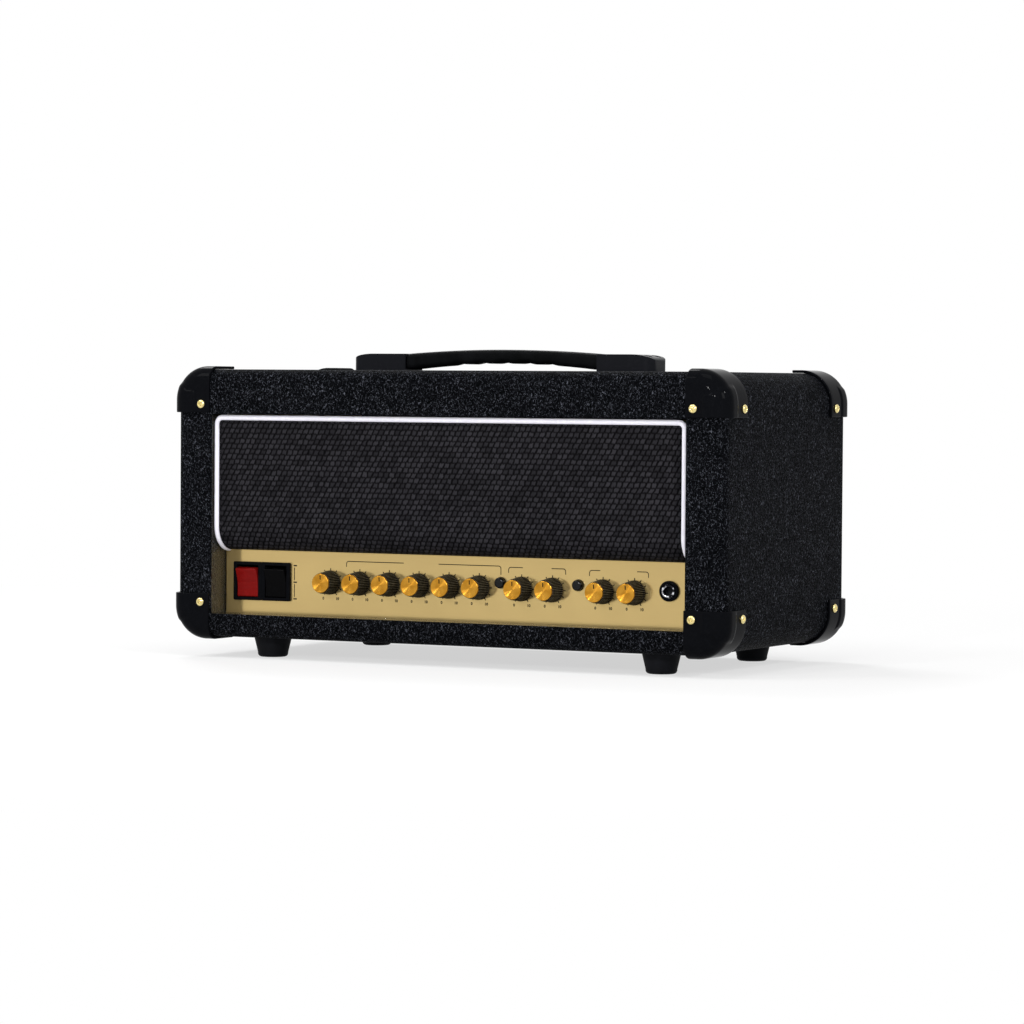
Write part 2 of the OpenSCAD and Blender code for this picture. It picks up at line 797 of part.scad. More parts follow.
fret_half_w = open_x - piping_gap - piping_d;
fret_top = open_top - piping_gap - piping_d;
roll_r = panel_y - fret_front;

// Section of the fret seen from the right, with its lower front edge rolled back.
// x is the distance in front of the fret's back, y the height above its lower edge.
module fret_section(r) {
    h = fret_top - fret_bottom;
    translate([0, roll_r]) square([r, h - roll_r]);
    intersection() {
        translate([0, roll_r]) circle(r);
        translate([0, roll_r - r]) square(r);
    }
}

// A section carried along the width of the fret, with the two upper corners rounded
module fret_slab() {
    bend = piping_bend_r - piping_d / 2;
    h = fret_top - fret_bottom;
    intersection() {
        translate([-fret_half_w, panel_y, fret_bottom]) rotate([90, 0, 90]) mirror([1, 0, 0])
            linear_extrude(2 * fret_half_w) children();
        translate([0, panel_y + cut, fret_bottom]) rotate([90, 0, 0])
            linear_extrude(2 * roll_r) union() {
                translate([-fret_half_w, 0]) square([2 * fret_half_w, h - bend]);
                translate([bend - fret_half_w, 0]) square([2 * (fret_half_w - bend), h]);
                for (s = [-1, 1]) translate([s * (fret_half_w - bend), h - bend]) circle(bend);
            }
    }
}

module fret_board() {
    color("burlywood") difference() {
        fret_slab() fret_section(roll_r - cloth_t);
        at_fret_screws() translate([0, 0, -cleat_t - fret_screw_grip])
            cylinder(r = fret_screw_d / 2 + hole_gap, h = fret_screw_grip + cut);
    }
}

module grille_cloth() {
    color([0.12, 0.12, 0.12]) fret_slab() difference() {
        fret_section(roll_r);
        fret_section(roll_r - cloth_t);
        translate([-cut, -cut]) square([cut + 0.01, 2 * roll_r]);
    }
}

// Quarter ring of piping: bend radius r, in the plane XY, from +X to +Y
module piping_bend(r) {
    rotate_extrude(angle = 90) translate([r, 0]) circle(d = piping_d);
}

// Half of the piping, on the right: rolled end, upright run, upper corner and half the top run
module half_piping() {
    x = fret_half_w + piping_d / 2 + 0.05;
    y = fret_front + piping_d / 2 - 1.45;
    roll = panel_y - y - 0.05;
    z_roll = fret_bottom + roll_r;
    z_top = fret_top + piping_d / 2 + 0.05;
    translate([x, panel_y - 0.05, z_roll]) rotate([180, 90, 0]) rotate([0, 0, -90])
        mirror([1, 0, 0]) piping_bend(roll);
    translate([x, y, z_roll]) cylinder(d = piping_d, h = z_top - piping_bend_r - z_roll);
    translate([x - piping_bend_r, y, z_top - piping_bend_r]) rotate([90, 0, 0])
        piping_bend(piping_bend_r);
    translate([0, y, z_top]) rotate([0, 90, 0]) cylinder(d = piping_d, h = x - piping_bend_r);
}

module piping() {
    color("white") for (s = [0, 1]) mirror([s, 0, 0]) half_piping();
}

module fret_screws() {
    color("silver") at_fret_screws()
        pan_screw(prot_head_d, prot_head_h, fret_screw_d, cleat_t + fret_screw_grip - 2);
}

// ---------------------------------------------------------------- chassis and panels

panel_hole_gap = 0.2;
bezel_body_w = bezel_w - 3.2;
bezel_body_h = bezel_h - 3;

// Everything that passes through the control panel and the chassis's front wall
module front_holes() {
    y = panel_y - cut;
    l = panel_t + chassis_t + 2 * cut;
    for (x = knob_xs) translate([x, y, knob_z]) rod_y(bushing_d / 2 + panel_hole_gap, l);
    for (x = button_xs) translate([x, y, button_z]) rod_y(button_d / 2 + button_gap, l);
    translate([jack_x, y, jack_z]) rod_y(jack_bush_d / 2 + panel_hole_gap, l);
    for (x = [power_x, output_x])
        translate([x, y + l / 2, switch_z])
            cube([bezel_body_w + 0.2, l, bezel_body_h + 0.2], center = true);
}

inlet_ear = 40;

// Everything that passes through the chassis's rear wall and the rear panel
module rear_holes() {
    y = chassis_back - chassis_t - cut;
    l = rear_plate_t + chassis_t + 2 * cut;
    for (x = rear_jack_xs) translate([x, y, rear_row_z]) rod_y(jack_bush_d / 2 + panel_hole_gap, l);
    translate([fuse_x, y, rear_row_z]) rod_y(fuse_d / 2 + panel_hole_gap, l);
    translate([inlet_x, y + l / 2, rear_row_z])
        cube([inlet_w + 2 * inlet_wall + 0.4, l, inlet_h + 2 * inlet_wall + 0.4], center = true);
    at_rear_screws() translate([0, 0, -rear_plate_t - chassis_t - cut])
        cylinder(r = rear_screw_d / 2 + hole_gap, h = l);
}

rear_screw_d = 3;
rear_screw_inset = 8;

// Children at the rear panel's own screws and the inlet's two, with +Z pointing backwards
module at_rear_screws() {
    for (sx = [-1, 1], z = [floor_z + rear_screw_inset, deck_z - rear_screw_inset])
        translate([sx * (chassis_x - rear_screw_inset), rear_face, z])
            rotate([-90, 0, 0]) children();
    for (s = [-1, 1])
        translate([inlet_x + s * inlet_ear / 2, rear_face, rear_row_z])
            rotate([-90, 0, 0]) children();
}

module control_panel() {
    color([0.77, 0.67, 0.45]) difference() {
        span([-chassis_x, panel_y, floor_z], [chassis_x, wall_y, deck_z]);
        front_holes();
    }
}

octal_hole_r = 14.5;
noval_hole_r = 10.5;

weld_gap = 0.05;

// Inverted steel tray, open below, spot-welded from a deck, two walls and two flanged ends
module chassis() {
    weld_z = deck_z - chassis_t - weld_gap;
    back_inner_y = chassis_back - chassis_t;
    color("dimgray") difference() {
        union() {
            span([-chassis_x, wall_y, deck_z - chassis_t], [chassis_x, chassis_back, deck_z]);
            span([-chassis_x, wall_y, floor_z], [chassis_x, wall_inner_y, weld_z]);
            span([-chassis_x, back_inner_y, floor_z], [chassis_x, chassis_back, weld_z]);
            for (s = [-1, 1]) {
                wall_x = s > 0 ? chassis_x - chassis_t : -chassis_x;
                flange_x = s > 0 ? chassis_x - flange_w : -chassis_x;
                span(
                    [wall_x, wall_inner_y + weld_gap, floor_z],
                    [wall_x + chassis_t, back_inner_y - weld_gap, weld_z]
                );
                span(
                    [flange_x, wall_inner_y + weld_gap, floor_z],
                    [flange_x + flange_w, back_inner_y - weld_gap, floor_z + chassis_t]
                );
            }
        }
        front_holes();
        rear_holes();
        at_chassis_bolts() cylinder(r = bolt_d / 2 + hole_gap, h = 3 * chassis_t, center = true);
        for (x = power_xs) translate([x, valve_y, deck_z - 2 * chassis_t])
            cylinder(r = octal_hole_r, h = 3 * chassis_t);
        for (x = preamp_xs) translate([x, valve_y, deck_z - 2 * chassis_t])
            cylinder(r = noval_hole_r, h = 3 * chassis_t);
        at_transformer_bolts() translate([0, 0, -2 * chassis_t])
            cylinder(r = core_bolt_d / 2 + hole_gap, h = 3 * chassis_t);
    }
}

module rear_panel() {
    color([0.08, 0.08, 0.08]) difference() {
        span([-chassis_x, chassis_back, floor_z], [chassis_x, rear_face, deck_z]);
        rear_holes();
    }
}

slot_w = 22;
slot_h = 4;
slot_gap_x = 8;
slot_gap_z = 8;
slot_margin = 18;

// Vented steel plate over the upper half of the back
module rear_grille() {
    z0 = deck_z + slide_gap;
    z1 = open_top - slide_gap;
    columns = floor((2 * (chassis_x - slot_margin) + slot_gap_x) / (slot_w + slot_gap_x));
    rows = floor((z1 - z0 - slot_margin + slot_gap_z) / (slot_h + slot_gap_z));
    color([0.08, 0.08, 0.08]) difference() {
        span([-chassis_x, chassis_back, z0], [chassis_x, chassis_back + grille_t, z1]);
        for (i = [0:columns - 1], j = [0:rows - 1])
            translate([
                (i - (columns - 1) / 2) * (slot_w + slot_gap_x), chassis_back + grille_t / 2,
                (z0 + z1) / 2 + (j - (rows - 1) / 2) * (slot_h + slot_gap_z)
            ])
                cube([slot_w, 2 * grille_t, slot_h], center = true);
        at_grille_screws() cylinder(r = grille_screw_d / 2 + hole_gap, h = 3 * grille_t, center = true);
    }
}

module rear_screws() {
    color([0.1, 0.1, 0.1]) {
        at_grille_screws() translate([0, 0, grille_t])
            pan_screw(prot_head_d, prot_head_h, grille_screw_d, grille_t + grille_screw_l - 1);
        for (sx = [-1, 1], z = [floor_z + rear_screw_inset, deck_z - rear_screw_inset])
            translate([sx * (chassis_x - rear_screw_inset), rear_face, z]) rotate([-90, 0, 0])
                pan_screw(rear_screw_d * 2, 2, rear_screw_d, 6);
        for (s = [-1, 1])
            translate([inlet_x + s * inlet_ear / 2, rear_face + inlet_flange_t, rear_row_z])
                rotate([-90, 0, 0]) pan_screw(rear_screw_d * 2, 2, rear_screw_d, 8);
    }
}

core_bolt_d = 4;
core_foot_w = 12;
core_foot_t = 2;

// Children at the four bolts of each transformer, on the deck
module at_transformer_bolts() {
    for (t = [[mains_core_x, mains_core_u, mains_stack], [output_core_x, output_core_u, output_stack]])
        for (sx = [-1, 1], sy = [-1, 1])
            translate([t[0] + sx * t[2] / 3, valve_y + sy * (3 * t[1] + core_foot_w / 2), deck_z])
                children();
}

module hex_nut(r, hole_r, h) {
    difference() {
        cylinder(r = r, h = h, $fn = 6);
        translate([0, 0, -cut]) cylinder(r = hole_r, h = h + 2 * cut);
    }
}

// Bolts that hold the chassis to the box, and the transformers to the chassis
module machine_bolts() {
    grip = board_t + cover_t + chassis_t;
    color("silver") {
        at_chassis_bolts() translate([0, 0, foot_h - floor_z]) mirror([0, 0, 1])
            pan_screw(bolt_d * 2, 3, bolt_d, grip + 6);
        at_chassis_bolts() translate([0, 0, chassis_t]) hex_nut(bolt_d, bolt_d / 2 + hole_gap, 4);
        at_transformer_bolts() translate([0, 0, core_foot_t])
            pan_screw(core_bolt_d * 2, 2.4, core_bolt_d, core_foot_t + chassis_t + 5);
        at_transformer_bolts() translate([0, 0, -chassis_t - 3])
            hex_nut(core_bolt_d, core_bolt_d / 2 + hole_gap, 3);
    }
}

// ---------------------------------------------------------------- knobs and potentiometers

nut_r = 6.2;
nut_h = 2;
bushing_front = panel_y - nut_h - 0.8;
shaft_front = panel_y - knob_gap - knob_h + 4;
shaft_back = wall_inner_y + pot_l - 3;
press_gap = 0.02;
knob_cap_t = 1.7;
mark_w = 0.9;
mark_l = 3.4;
mark_start = 3;

module potentiometers() {
    color("darkgray") for (x = knob_xs) translate([x, 0, knob_z]) difference() {
        union() {
            translate([0, wall_inner_y, 0]) rod_y(pot_d / 2, pot_l);
            translate([0, bushing_front, 0])
                rod_y(bushing_d / 2, wall_inner_y - bushing_front + 1);
        }
        translate([0, bushing_front - cut, 0])
            rod_y(shaft_d / 2 + shaft_clear, shaft_back + 0.3 - bushing_front + cut);
    }
}

module potentiometer_nuts() {
    color("silver") for (x = knob_xs)
        translate([x, panel_y, knob_z]) rotate([90, 0, 0])
            hex_nut(nut_r, bushing_d / 2 + hole_gap, nut_h);
}

// One knob with its cap and shaft, pointing along -Z from z = 0 at the panel's face
module knob_stack() {
    base_r = knob_base_d / 2;
    top_r = knob_top_d / 2;
    cap_r = knob_cap_d / 2;
    skirt_h = knob_h - knob_cap_t - press_gap;
    hollow_h = 4;
    color([0.08, 0.08, 0.08]) difference() {
        translate([0, 0, knob_gap]) rotate_extrude() polygon([
            [0, 0], [base_r, 0], [base_r, 2], [top_r, skirt_h - 0.6],
            [top_r - 0.6, skirt_h], [0, skirt_h]
        ]);
        translate([0, 0, -cut]) cylinder(r = nut_r + 1, h = hollow_h + cut);
        cylinder(r = shaft_d / 2 + press_gap, h = panel_y - shaft_front + 0.3);
    }
    color([0.85, 0.62, 0.18]) translate([0, 0, knob_gap + skirt_h + press_gap]) difference() {
        rotate_extrude() polygon([
            [0, 0], [cap_r, 0], [cap_r, 0.9], [cap_r - 0.8, knob_cap_t], [0, knob_cap_t]
        ]);
        translate([-mark_w / 2, mark_start, knob_cap_t - mark_w / 3]) cube([mark_w, mark_l, mark_w]);
    }
    color("silver") translate([0, 0, panel_y - shaft_back])
        cylinder(d = shaft_d, h = shaft_back - shaft_front);
}

// A knob counted from the left, starting at 1
module knob(number) {
    translate([knob_xs[number - 1], panel_y, knob_z]) rotate([90, 0, 0]) knob_stack();
}

control_board_end = 12;

module control_board() {
    y = wall_inner_y + pot_l;
    color("darkgreen") span(
        [knob_xs[0] - control_board_end, y, open_bottom + board_gap],
        [knob_xs[9] + control_board_end, y + pcb_t, board_z + pcb_t]
    );
}

// ---------------------------------------------------------------- push buttons

stem_d = 4;
button_well = 1.2;
button_lead = 0.2;
stem_gap = 0.06;
stem_wall = 1;
stem_end_gap = 0.3;
switch_body_w = 8.4;

module push_switches() {
    body = switch_body_w;
    y0 = wall_inner_y + button_well;
    y1 = wall_inner_y + pot_l;
    color("dimgray") for (x = button_xs) translate([x, 0, button_z]) difference() {
        span([-body / 2, y0 + button_travel, -body / 2], [body / 2, y1, body / 2]);
        translate([0, y0, 0]) rod_y(stem_d / 2 + stem_gap, y1 - y0 - stem_wall);
    }
}

// A domed button on its stem
module button(x) {
    y_back = wall_inner_y + button_well - button_lead;
    h = y_back - (panel_y - button_h);
    dome = 1.2;
    stem_l = pot_l - button_well + button_lead - button_travel - stem_wall - stem_end_gap;
    color([0.06, 0.06, 0.06]) translate([x, y_back, button_z]) {
        rotate([90, 0, 0]) rotate_extrude() {
            square([button_d / 2, h - dome]);
            translate([0, h - dome]) square([button_d / 2 - dome, dome]);
            intersection() {
                translate([button_d / 2 - dome, h - dome]) circle(dome);
                translate([0, h - dome]) square(button_d);
            }
        }
        rod_y(stem_d / 2, stem_l);
    }
}

module tone_button() { button(button_a_x); }
module channel_button() { button(button_b_x); }

// ---------------------------------------------------------------- rocker switches

pivot_y = panel_y - bezel_t + pivot_depth;
pin_reach = 1.2;
well_half_h = 13.2;
well_depth = 13.6;

// Bezel and body with a well for the rocker, and three blades at the back
module switch_housing(x) {
    body_l = 21;
    color([0.06, 0.06, 0.07]) difference() {
        union() {
            translate([x, panel_y, switch_z]) rotate([90, 0, 0]) linear_extrude(bezel_t)
                round_rect(bezel_w, bezel_h, 1.2);
            translate([x, panel_y + body_l / 2, switch_z])
                cube([bezel_body_w, body_l, bezel_body_h], center = true);
        }
        translate([x, panel_y - bezel_t + well_depth / 2 - cut, switch_z])
            cube([rocker_w + 2 * rocker_gap, well_depth + 2 * cut, 2 * well_half_h], center = true);
        translate([x - bezel_body_w / 2 - cut, pivot_y, switch_z]) rotate([0, 90, 0])
            cylinder(r = pivot_d / 2 + shaft_clear, h = bezel_body_w + 2 * cut);
    }
    color("silver") for (dz = [-8, 0, 8])
        translate([x, panel_y + body_l + 4, switch_z + dz]) cube([4.8, 8, 0.8], center = true);
}

// Rocker with a shallow V face, pressed in at its bottom
module rocker(x) {
    face = pivot_depth - bezel_t * 0.05;
    lip = face + rocker_half_h * tan(rocker_tilt);
    translate([x, pivot_y, switch_z]) rotate([rocker_tilt, 0, 0]) {
        rotate([90, 0, 90]) linear_extrude(rocker_w, center = true) polygon([
            [-face, 0], [-lip, rocker_half_h], [-lip + 1, rocker_half_h + 0.5],
            [-4, 12], [2.5, 9], [4.5, 4], [4.5, -4], [2.5, -9],
            [-4, -12], [-lip + 1, -rocker_half_h - 0.5], [-lip, -rocker_half_h]
        ]);
        rotate([0, 90, 0])
            cylinder(d = pivot_d, h = rocker_w + 2 * rocker_gap + 2 * pin_reach, center = true);
    }
}

module power_switch_housing() { switch_housing(power_x); }
module output_switch_housing() { switch_housing(output_x); }
module power_rocker() { color([0.55, 0.08, 0.08]) rocker(power_x); }
module output_rocker() { color([0.06, 0.06, 0.07]) rocker(output_x); }

// ---------------------------------------------------------------- jacks

jack_end_wall = 1.5;

// A jack behind a wall whose inside lies at z = 0; +Z points out through the wall
module jack(wall) {
    front = wall + jack_nut_h + 0.8;
    difference() {
        union() {
            translate([-jack_body_w / 2, -jack_body_w / 2, -jack_body_l])
                cube([jack_body_w, jack_body_w, jack_body_l]);
            cylinder(d = jack_bush_d, h = front);
        }
        translate([0, 0, jack_end_wall - jack_body_l])
            cylinder(r = jack_bore_r, h = jack_body_l + front);
    }
}

module jack_nut() {
    difference() {
        cylinder(d = jack_nut_d, h = jack_nut_h);
        translate([0, 0, -cut]) cylinder(r = jack_bush_d / 2 + hole_gap, h = jack_nut_h + 2 * cut);
    }
}

module input_jack() {
    color([0.12, 0.12, 0.12]) translate([jack_x, wall_inner_y, jack_z]) rotate([90, 0, 0])
        jack(panel_t + chassis_t);
}
module input_jack_nut() {
    color([0.06, 0.06, 0.06]) translate([jack_x, panel_y, jack_z]) rotate([90, 0, 0]) jack_nut();
}
module rear_jacks() {
    color([0.12, 0.12, 0.12]) for (x = rear_jack_xs)
        translate([x, chassis_back - chassis_t, rear_row_z]) rotate([-90, 0, 0])
            jack(rear_plate_t + chassis_t);
}
module rear_jack_nuts() {
    color([0.06, 0.06, 0.06]) for (x = rear_jack_xs)
        translate([x, rear_face, rear_row_z]) rotate([-90, 0, 0]) jack_nut();
}

// ---------------------------------------------------------------- mains inlet and fuse

inlet_flange_t = 2;
pin_l = 10;

// Outline of the mains socket, with its two upper corners cut off
module inlet_outline(grow) {
    w = inlet_w / 2 + grow;
    h = inlet_h / 2 + grow;
    chamfer = 5;
    polygon([[-w, -h], [w, -h], [w, h - chamfer], [w - chamfer, h], [chamfer - w, h], [-w, h - chamfer]]);
}

module mains_inlet() {
    back = rear_face + inlet_flange_t - inlet_depth;
    translate([inlet_x, 0, rear_row_z]) {
        color([0.08, 0.08, 0.08]) difference() {
            union() {
                translate([0, rear_face + inlet_flange_t, 0]) rotate([90, 0, 0])
                    linear_extrude(inlet_flange_t)
                        round_rect(inlet_ear + 10, inlet_h + 2 * inlet_wall + 3, 4);
                translate([0, rear_face + 0.5, 0]) rotate([90, 0, 0])
                    linear_extrude(rear_face - back + 4) inlet_outline(inlet_wall);
            }
            translate([0, rear_face + inlet_flange_t + cut, 0]) rotate([90, 0, 0])
                linear_extrude(inlet_depth + cut) inlet_outline(0);
            for (s = [-1, 1]) translate([s * inlet_ear / 2, rear_face - cut, 0])
                rod_y(rear_screw_d / 2 + hole_gap, inlet_flange_t + 2 * cut);
        }
        color("silver") for (p = [[-7, -2], [7, -2], [0, 2]])
            translate([p[0], back - 10 + (pin_l + 10) / 2, p[1]]) cube([2, pin_l + 10, 4], center = true);
    }
}

fuse_body_l = 32;

module fuse_holder() {
    translate([fuse_x, 0, rear_row_z]) {
        color([0.08, 0.08, 0.08]) {
            translate([0, rear_face - fuse_body_l, 0]) rod_y(fuse_d / 2, fuse_body_l);
            difference() {
                translate([0, rear_face, 0]) rod_y(fuse_cap_d / 2, 7);
                translate([0, rear_face + 7, 0]) cube([fuse_cap_d * 0.7, 2, 1.6], center = true);
            }
        }
    }
}

// ---------------------------------------------------------------- boards and transformers

board_gap = 8;
board_reach = 45;
board_left = output_core_x - board_reach;
board_front = wall_inner_y + pot_l + pcb_t + board_gap;
board_rear = chassis_back - 26;
pillar_inset = 6;
pillar_r = 3;
capacitor_gap = 8;

module main_board() {
    color("darkgreen") span(
        [board_left, board_front, board_z],
        [chassis_x - board_gap, board_rear, board_z + pcb_t]
    );
}

// Children at each pillar between the main board and the deck
module at_pillars() {
    x0 = board_left + pillar_inset;
    x1 = chassis_x - board_gap - pillar_inset;
    for (x = [x0, (x0 + x1) / 2, x1], y = [board_front + pillar_inset, board_rear - pillar_inset])
        translate([x, y, board_z + pcb_t]) children();
}

module board_pillars() {
    color("silver") at_pillars() cylinder(r = pillar_r, h = deck_z - chassis_t - board_z - pcb_t);
}

module filter_capacitors() {
    color("darkslateblue") for (i = [0:3])
        translate([
            board_left + 2 * capacitor_gap + i * (capacitor_d + capacitor_gap),
            board_front + 2 * capacitor_d + capacitor_gap, board_z - capacitor_l
        ])
            cylinder(d = capacitor_d, h = capacitor_l);
}

// Stack of E and I laminations, standing on z = 0, with two windows
module transformer_core(u, stack) {
    difference() {
        translate([-3 * u, -stack / 2, 0]) cube([6 * u, stack, 5 * u]);
        for (s = [-1, 1]) translate([s * 1.5 * u, 0, 2.5 * u])
            cube([u, stack + 2 * cut, 3 * u], center = true);
    }
}

// Feet along both sides of a core, with slots for two bolts each
module transformer_feet(u, stack) {
    for (s = [0, 1]) mirror([s, 0, 0]) difference() {
        union() {
            translate([3 * u, -stack / 2, 0]) cube([core_foot_w, stack, core_foot_t]);
            translate([3 * u, -stack / 2, 0]) cube([core_foot_t, stack, 2 * u]);
        }
        for (sy = [-1, 1]) translate([3 * u + core_foot_w / 2, sy * stack / 3, -cut])
            cylinder(r = core_bolt_d / 2 + hole_gap, h = core_foot_t + 2 * cut);
    }
}

// Winding round the middle leg, a little clear of the core
module transformer_coil(u, stack) {
    gap = 0.3;
    difference() {
        translate([0, 0, 2.5 * u])
            cube([4 * u - 2 * gap, stack + 1.8 * u, 3 * u - 2 * gap], center = true);
        translate([0, 0, 2.5 * u]) cube([2 * u + 2 * gap, stack + 2 * gap, 3 * u], center = true);
    }
}

module transformer_cores() {
    color("dimgray") {
        translate([mains_core_x, valve_y, deck_z]) rotate([0, 0, 90]) {
            transformer_core(mains_core_u, mains_stack);
            transformer_feet(mains_core_u, mains_stack);
        }
        translate([output_core_x, valve_y, deck_z]) rotate([0, 0, 90]) {
            transformer_core(output_core_u, output_stack);
            transformer_feet(output_core_u, output_stack);
        }
    }
}

module transformer_coils() {
    color("goldenrod") {
        translate([mains_core_x, valve_y, deck_z]) rotate([0, 0, 90])
            transformer_coil(mains_core_u, mains_stack);
        translate([output_core_x, valve_y, deck_z]) rotate([0, 0, 90])
            transformer_coil(output_core_u, output_stack);
    }
}

// ---------------------------------------------------------------- valves

socket_rise = 2;
octal_rise = 3;
power_base_h = 14;
base_step = 0.5;
retainer_gap = 0.3;
retainer_t = 0.8;
retainer_h = 10;
retainer_flange = 4.5;

// Bulb with a domed top, standing on z = 0
module bulb(d, h) {
    rotate_extrude() {
        square([d / 2, h - d / 2]);
        intersection() {
            translate([0, h - d / 2]) circle(d / 2);
            translate([0, h - d / 2]) square(d);
        }
    }
}

module preamp_valves() {
    color("lightgray") for (x = preamp_xs)
        translate([x, valve_y, deck_z + socket_rise]) bulb(preamp_bulb_d, preamp_valve_h);
}

module power_valves() {
    for (x = power_xs) translate([x, valve_y, deck_z + octal_rise]) {
        color([0.25, 0.12, 0.06]) cylinder(r = power_bulb_d / 2 + base_step, h = power_base_h);
        color("lightgray") translate([0, 0, power_base_h])
            bulb(power_bulb_d, power_valve_h - power_base_h);
    }
}

module valve_sockets() {
    color("ivory") {
        for (x = preamp_xs) translate([x, valve_y, board_z + pcb_t])
            cylinder(r = noval_hole_r - 0.5, h = deck_z + socket_rise - board_z - pcb_t);
        for (x = power_xs) translate([x, valve_y, board_z + pcb_t])
            cylinder(r = octal_hole_r - 0.5, h = deck_z + octal_rise - board_z - pcb_t);
    }
}

// Spring steel cups that grip the bases of the power valves
module valve_retainers() {
    r = power_bulb_d / 2 + base_step + retainer_gap;
    h = octal_rise + retainer_h;
    color("silver") for (x = power_xs) translate([x, valve_y, deck_z]) difference() {
        union() {
            cylinder(r = r + retainer_t, h = h);
            cylinder(r = r + retainer_flange, h = retainer_t);
        }
        translate([0, 0, -cut]) cylinder(r = r, h = h + 2 * cut);
    }
}

// ---------------------------------------------------------------- the part

top_board();
bottom_board();
left_board();
right_board();
front_frame();
rear_frame();
cleats();
covering();
corner_protectors();
protector_screws();
rubber_feet();
foot_screws();
handle_caps();
handle_screws();
handle_strap();
fret_board();
grille_cloth();
piping();
fret_screws();
control_panel();
chassis();
machine_bolts();
rear_panel();
rear_grille();
rear_screws();
potentiometers();
potentiometer_nuts();
control_board();
power_switch_housing();
output_switch_housing();
power_rocker();
output_rocker();
push_switches();
tone_button();
channel_button();
input_jack();
input_jack_nut();
main_board();
board_pillars();
filter_capacitors();
transformer_cores();
transformer_coils();
preamp_valves();
power_valves();
valve_sockets();
valve_retainers();
mains_inlet();
fuse_holder();
rear_jacks();
rear_jack_nuts();
knob(1);  // knob_1
knob(2);  // knob_2
knob(3);  // knob_3
knob(4);  // knob_4
knob(5);  // knob_5
knob(6);  // knob_6
knob(7);  // knob_7
knob(8);  // knob_8
knob(9);  // knob_9
knob(10);  // knob_10
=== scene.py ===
"""Guitar amplifier head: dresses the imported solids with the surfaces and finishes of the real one.

Shapes are worked out in millimetres in the solids' frame and turned to metres as each mesh is made.
"""
import json
import math
from collections import namedtuple

import bmesh
import bpy
import numpy as np
from bpy.props import FloatProperty, FloatVectorProperty, IntProperty, PointerProperty
from mathutils import Matrix, Vector


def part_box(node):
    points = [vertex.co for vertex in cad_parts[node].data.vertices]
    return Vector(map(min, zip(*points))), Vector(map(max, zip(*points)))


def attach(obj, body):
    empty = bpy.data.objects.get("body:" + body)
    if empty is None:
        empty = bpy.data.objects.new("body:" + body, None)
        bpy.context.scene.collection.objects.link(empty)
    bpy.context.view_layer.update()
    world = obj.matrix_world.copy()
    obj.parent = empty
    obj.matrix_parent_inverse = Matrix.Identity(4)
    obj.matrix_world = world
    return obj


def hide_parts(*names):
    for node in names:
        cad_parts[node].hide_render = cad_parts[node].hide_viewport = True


bl_info = {
    "name": "Guitar amplifier head",
    "version": (1, 0, 0),
    "blender": (4, 5, 0),
    "location": "3D View > Sidebar > Amp head",
    "description": "Builds the covering, fret, controls, back and stage of a valve amplifier head",
    "category": "Object",
}

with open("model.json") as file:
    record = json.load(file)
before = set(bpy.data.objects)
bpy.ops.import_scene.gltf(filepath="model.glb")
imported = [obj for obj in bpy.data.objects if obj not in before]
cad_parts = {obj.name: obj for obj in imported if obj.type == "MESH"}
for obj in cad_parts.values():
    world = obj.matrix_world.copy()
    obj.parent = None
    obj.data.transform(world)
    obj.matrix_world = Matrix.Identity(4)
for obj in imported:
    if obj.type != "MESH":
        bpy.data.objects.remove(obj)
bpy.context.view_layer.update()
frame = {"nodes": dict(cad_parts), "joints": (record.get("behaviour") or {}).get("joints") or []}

MM = 0.001
QUARTER = math.pi / 2
RIGHT, FRONT, UP = (1, 0, 0), (0, -1, 0), (0, 0, 1)
CABINET = "cabinet"

# Meshes: how near two points count as one, the angle in degrees past which an edge is sharp, the
# radius of the small face that closes a turned shape at its axis, and the steps of a knob's flute
SAME_POINT = 0.002 * MM
SHARP = 35.0
AXIS_R = 0.05
STEPS_A_FLUTE = 8

# The box's corners and edges, and the gap round what slides into its openings, as in the solids
CORNER_R = 25.0
EDGE_R = 10.0
SLIDE_GAP = 0.3


# ---------------------------------------------------------------- places from the frame

def box_mm(node):
    """Lowest and highest corner of a solid, in millimetres."""
    low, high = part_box(node)
    return np.array(low) / MM, np.array(high) / MM


def centre_of(node):
    """Middle of a solid's box, in millimetres."""
    return sum(box_mm(node)) / 2


def panel_face():
    """Y of the control panel's face."""
    return box_mm("control_panel")[0][1]


def solids_of(node):
    """Boxes of a node's separate solids, in millimetres. Triangles that share a corner belong
    together: every corner takes the lowest number among its triangles until none changes."""
    mesh = frame["nodes"][node].data
    points = np.empty(len(mesh.vertices) * 3)
    mesh.vertices.foreach_get("co", points)
    points = points.reshape(-1, 3) / MM
    mesh.calc_loop_triangles()
    corners = np.empty(len(mesh.loop_triangles) * 3, int)
    mesh.loop_triangles.foreach_get("vertices", corners)
    _, same = np.unique(np.round(points, 3), axis=0, return_inverse=True)
    corners = same.reshape(-1)[corners].reshape(-1, 3)
    label = np.arange(corners.max() + 1)
    while True:
        low = label[corners].min(1)
        new = label.copy()
        np.minimum.at(new, corners.reshape(-1), np.repeat(low, 3))
        new = new[new]
        if (new == label).all():
            break
        label = new
    mine = label[same.reshape(-1)]
    return [(points[mine == k].min(0), points[mine == k].max(0)) for k in np.unique(mine)]


def middles_of(node):
    """Middles of a node's separate solids, in millimetres."""
    return [(low + high) / 2 for low, high in solids_of(node)]


def joint_place(name):
    """Where a joint's axis passes, in millimetres."""
    joint = next(joint for joint in frame["joints"] if joint["name"] == name)
    return np.array(joint["pos_m"]) / MM


# ---------------------------------------------------------------- surfaces

Skin = namedtuple("Skin", "points faces uv")


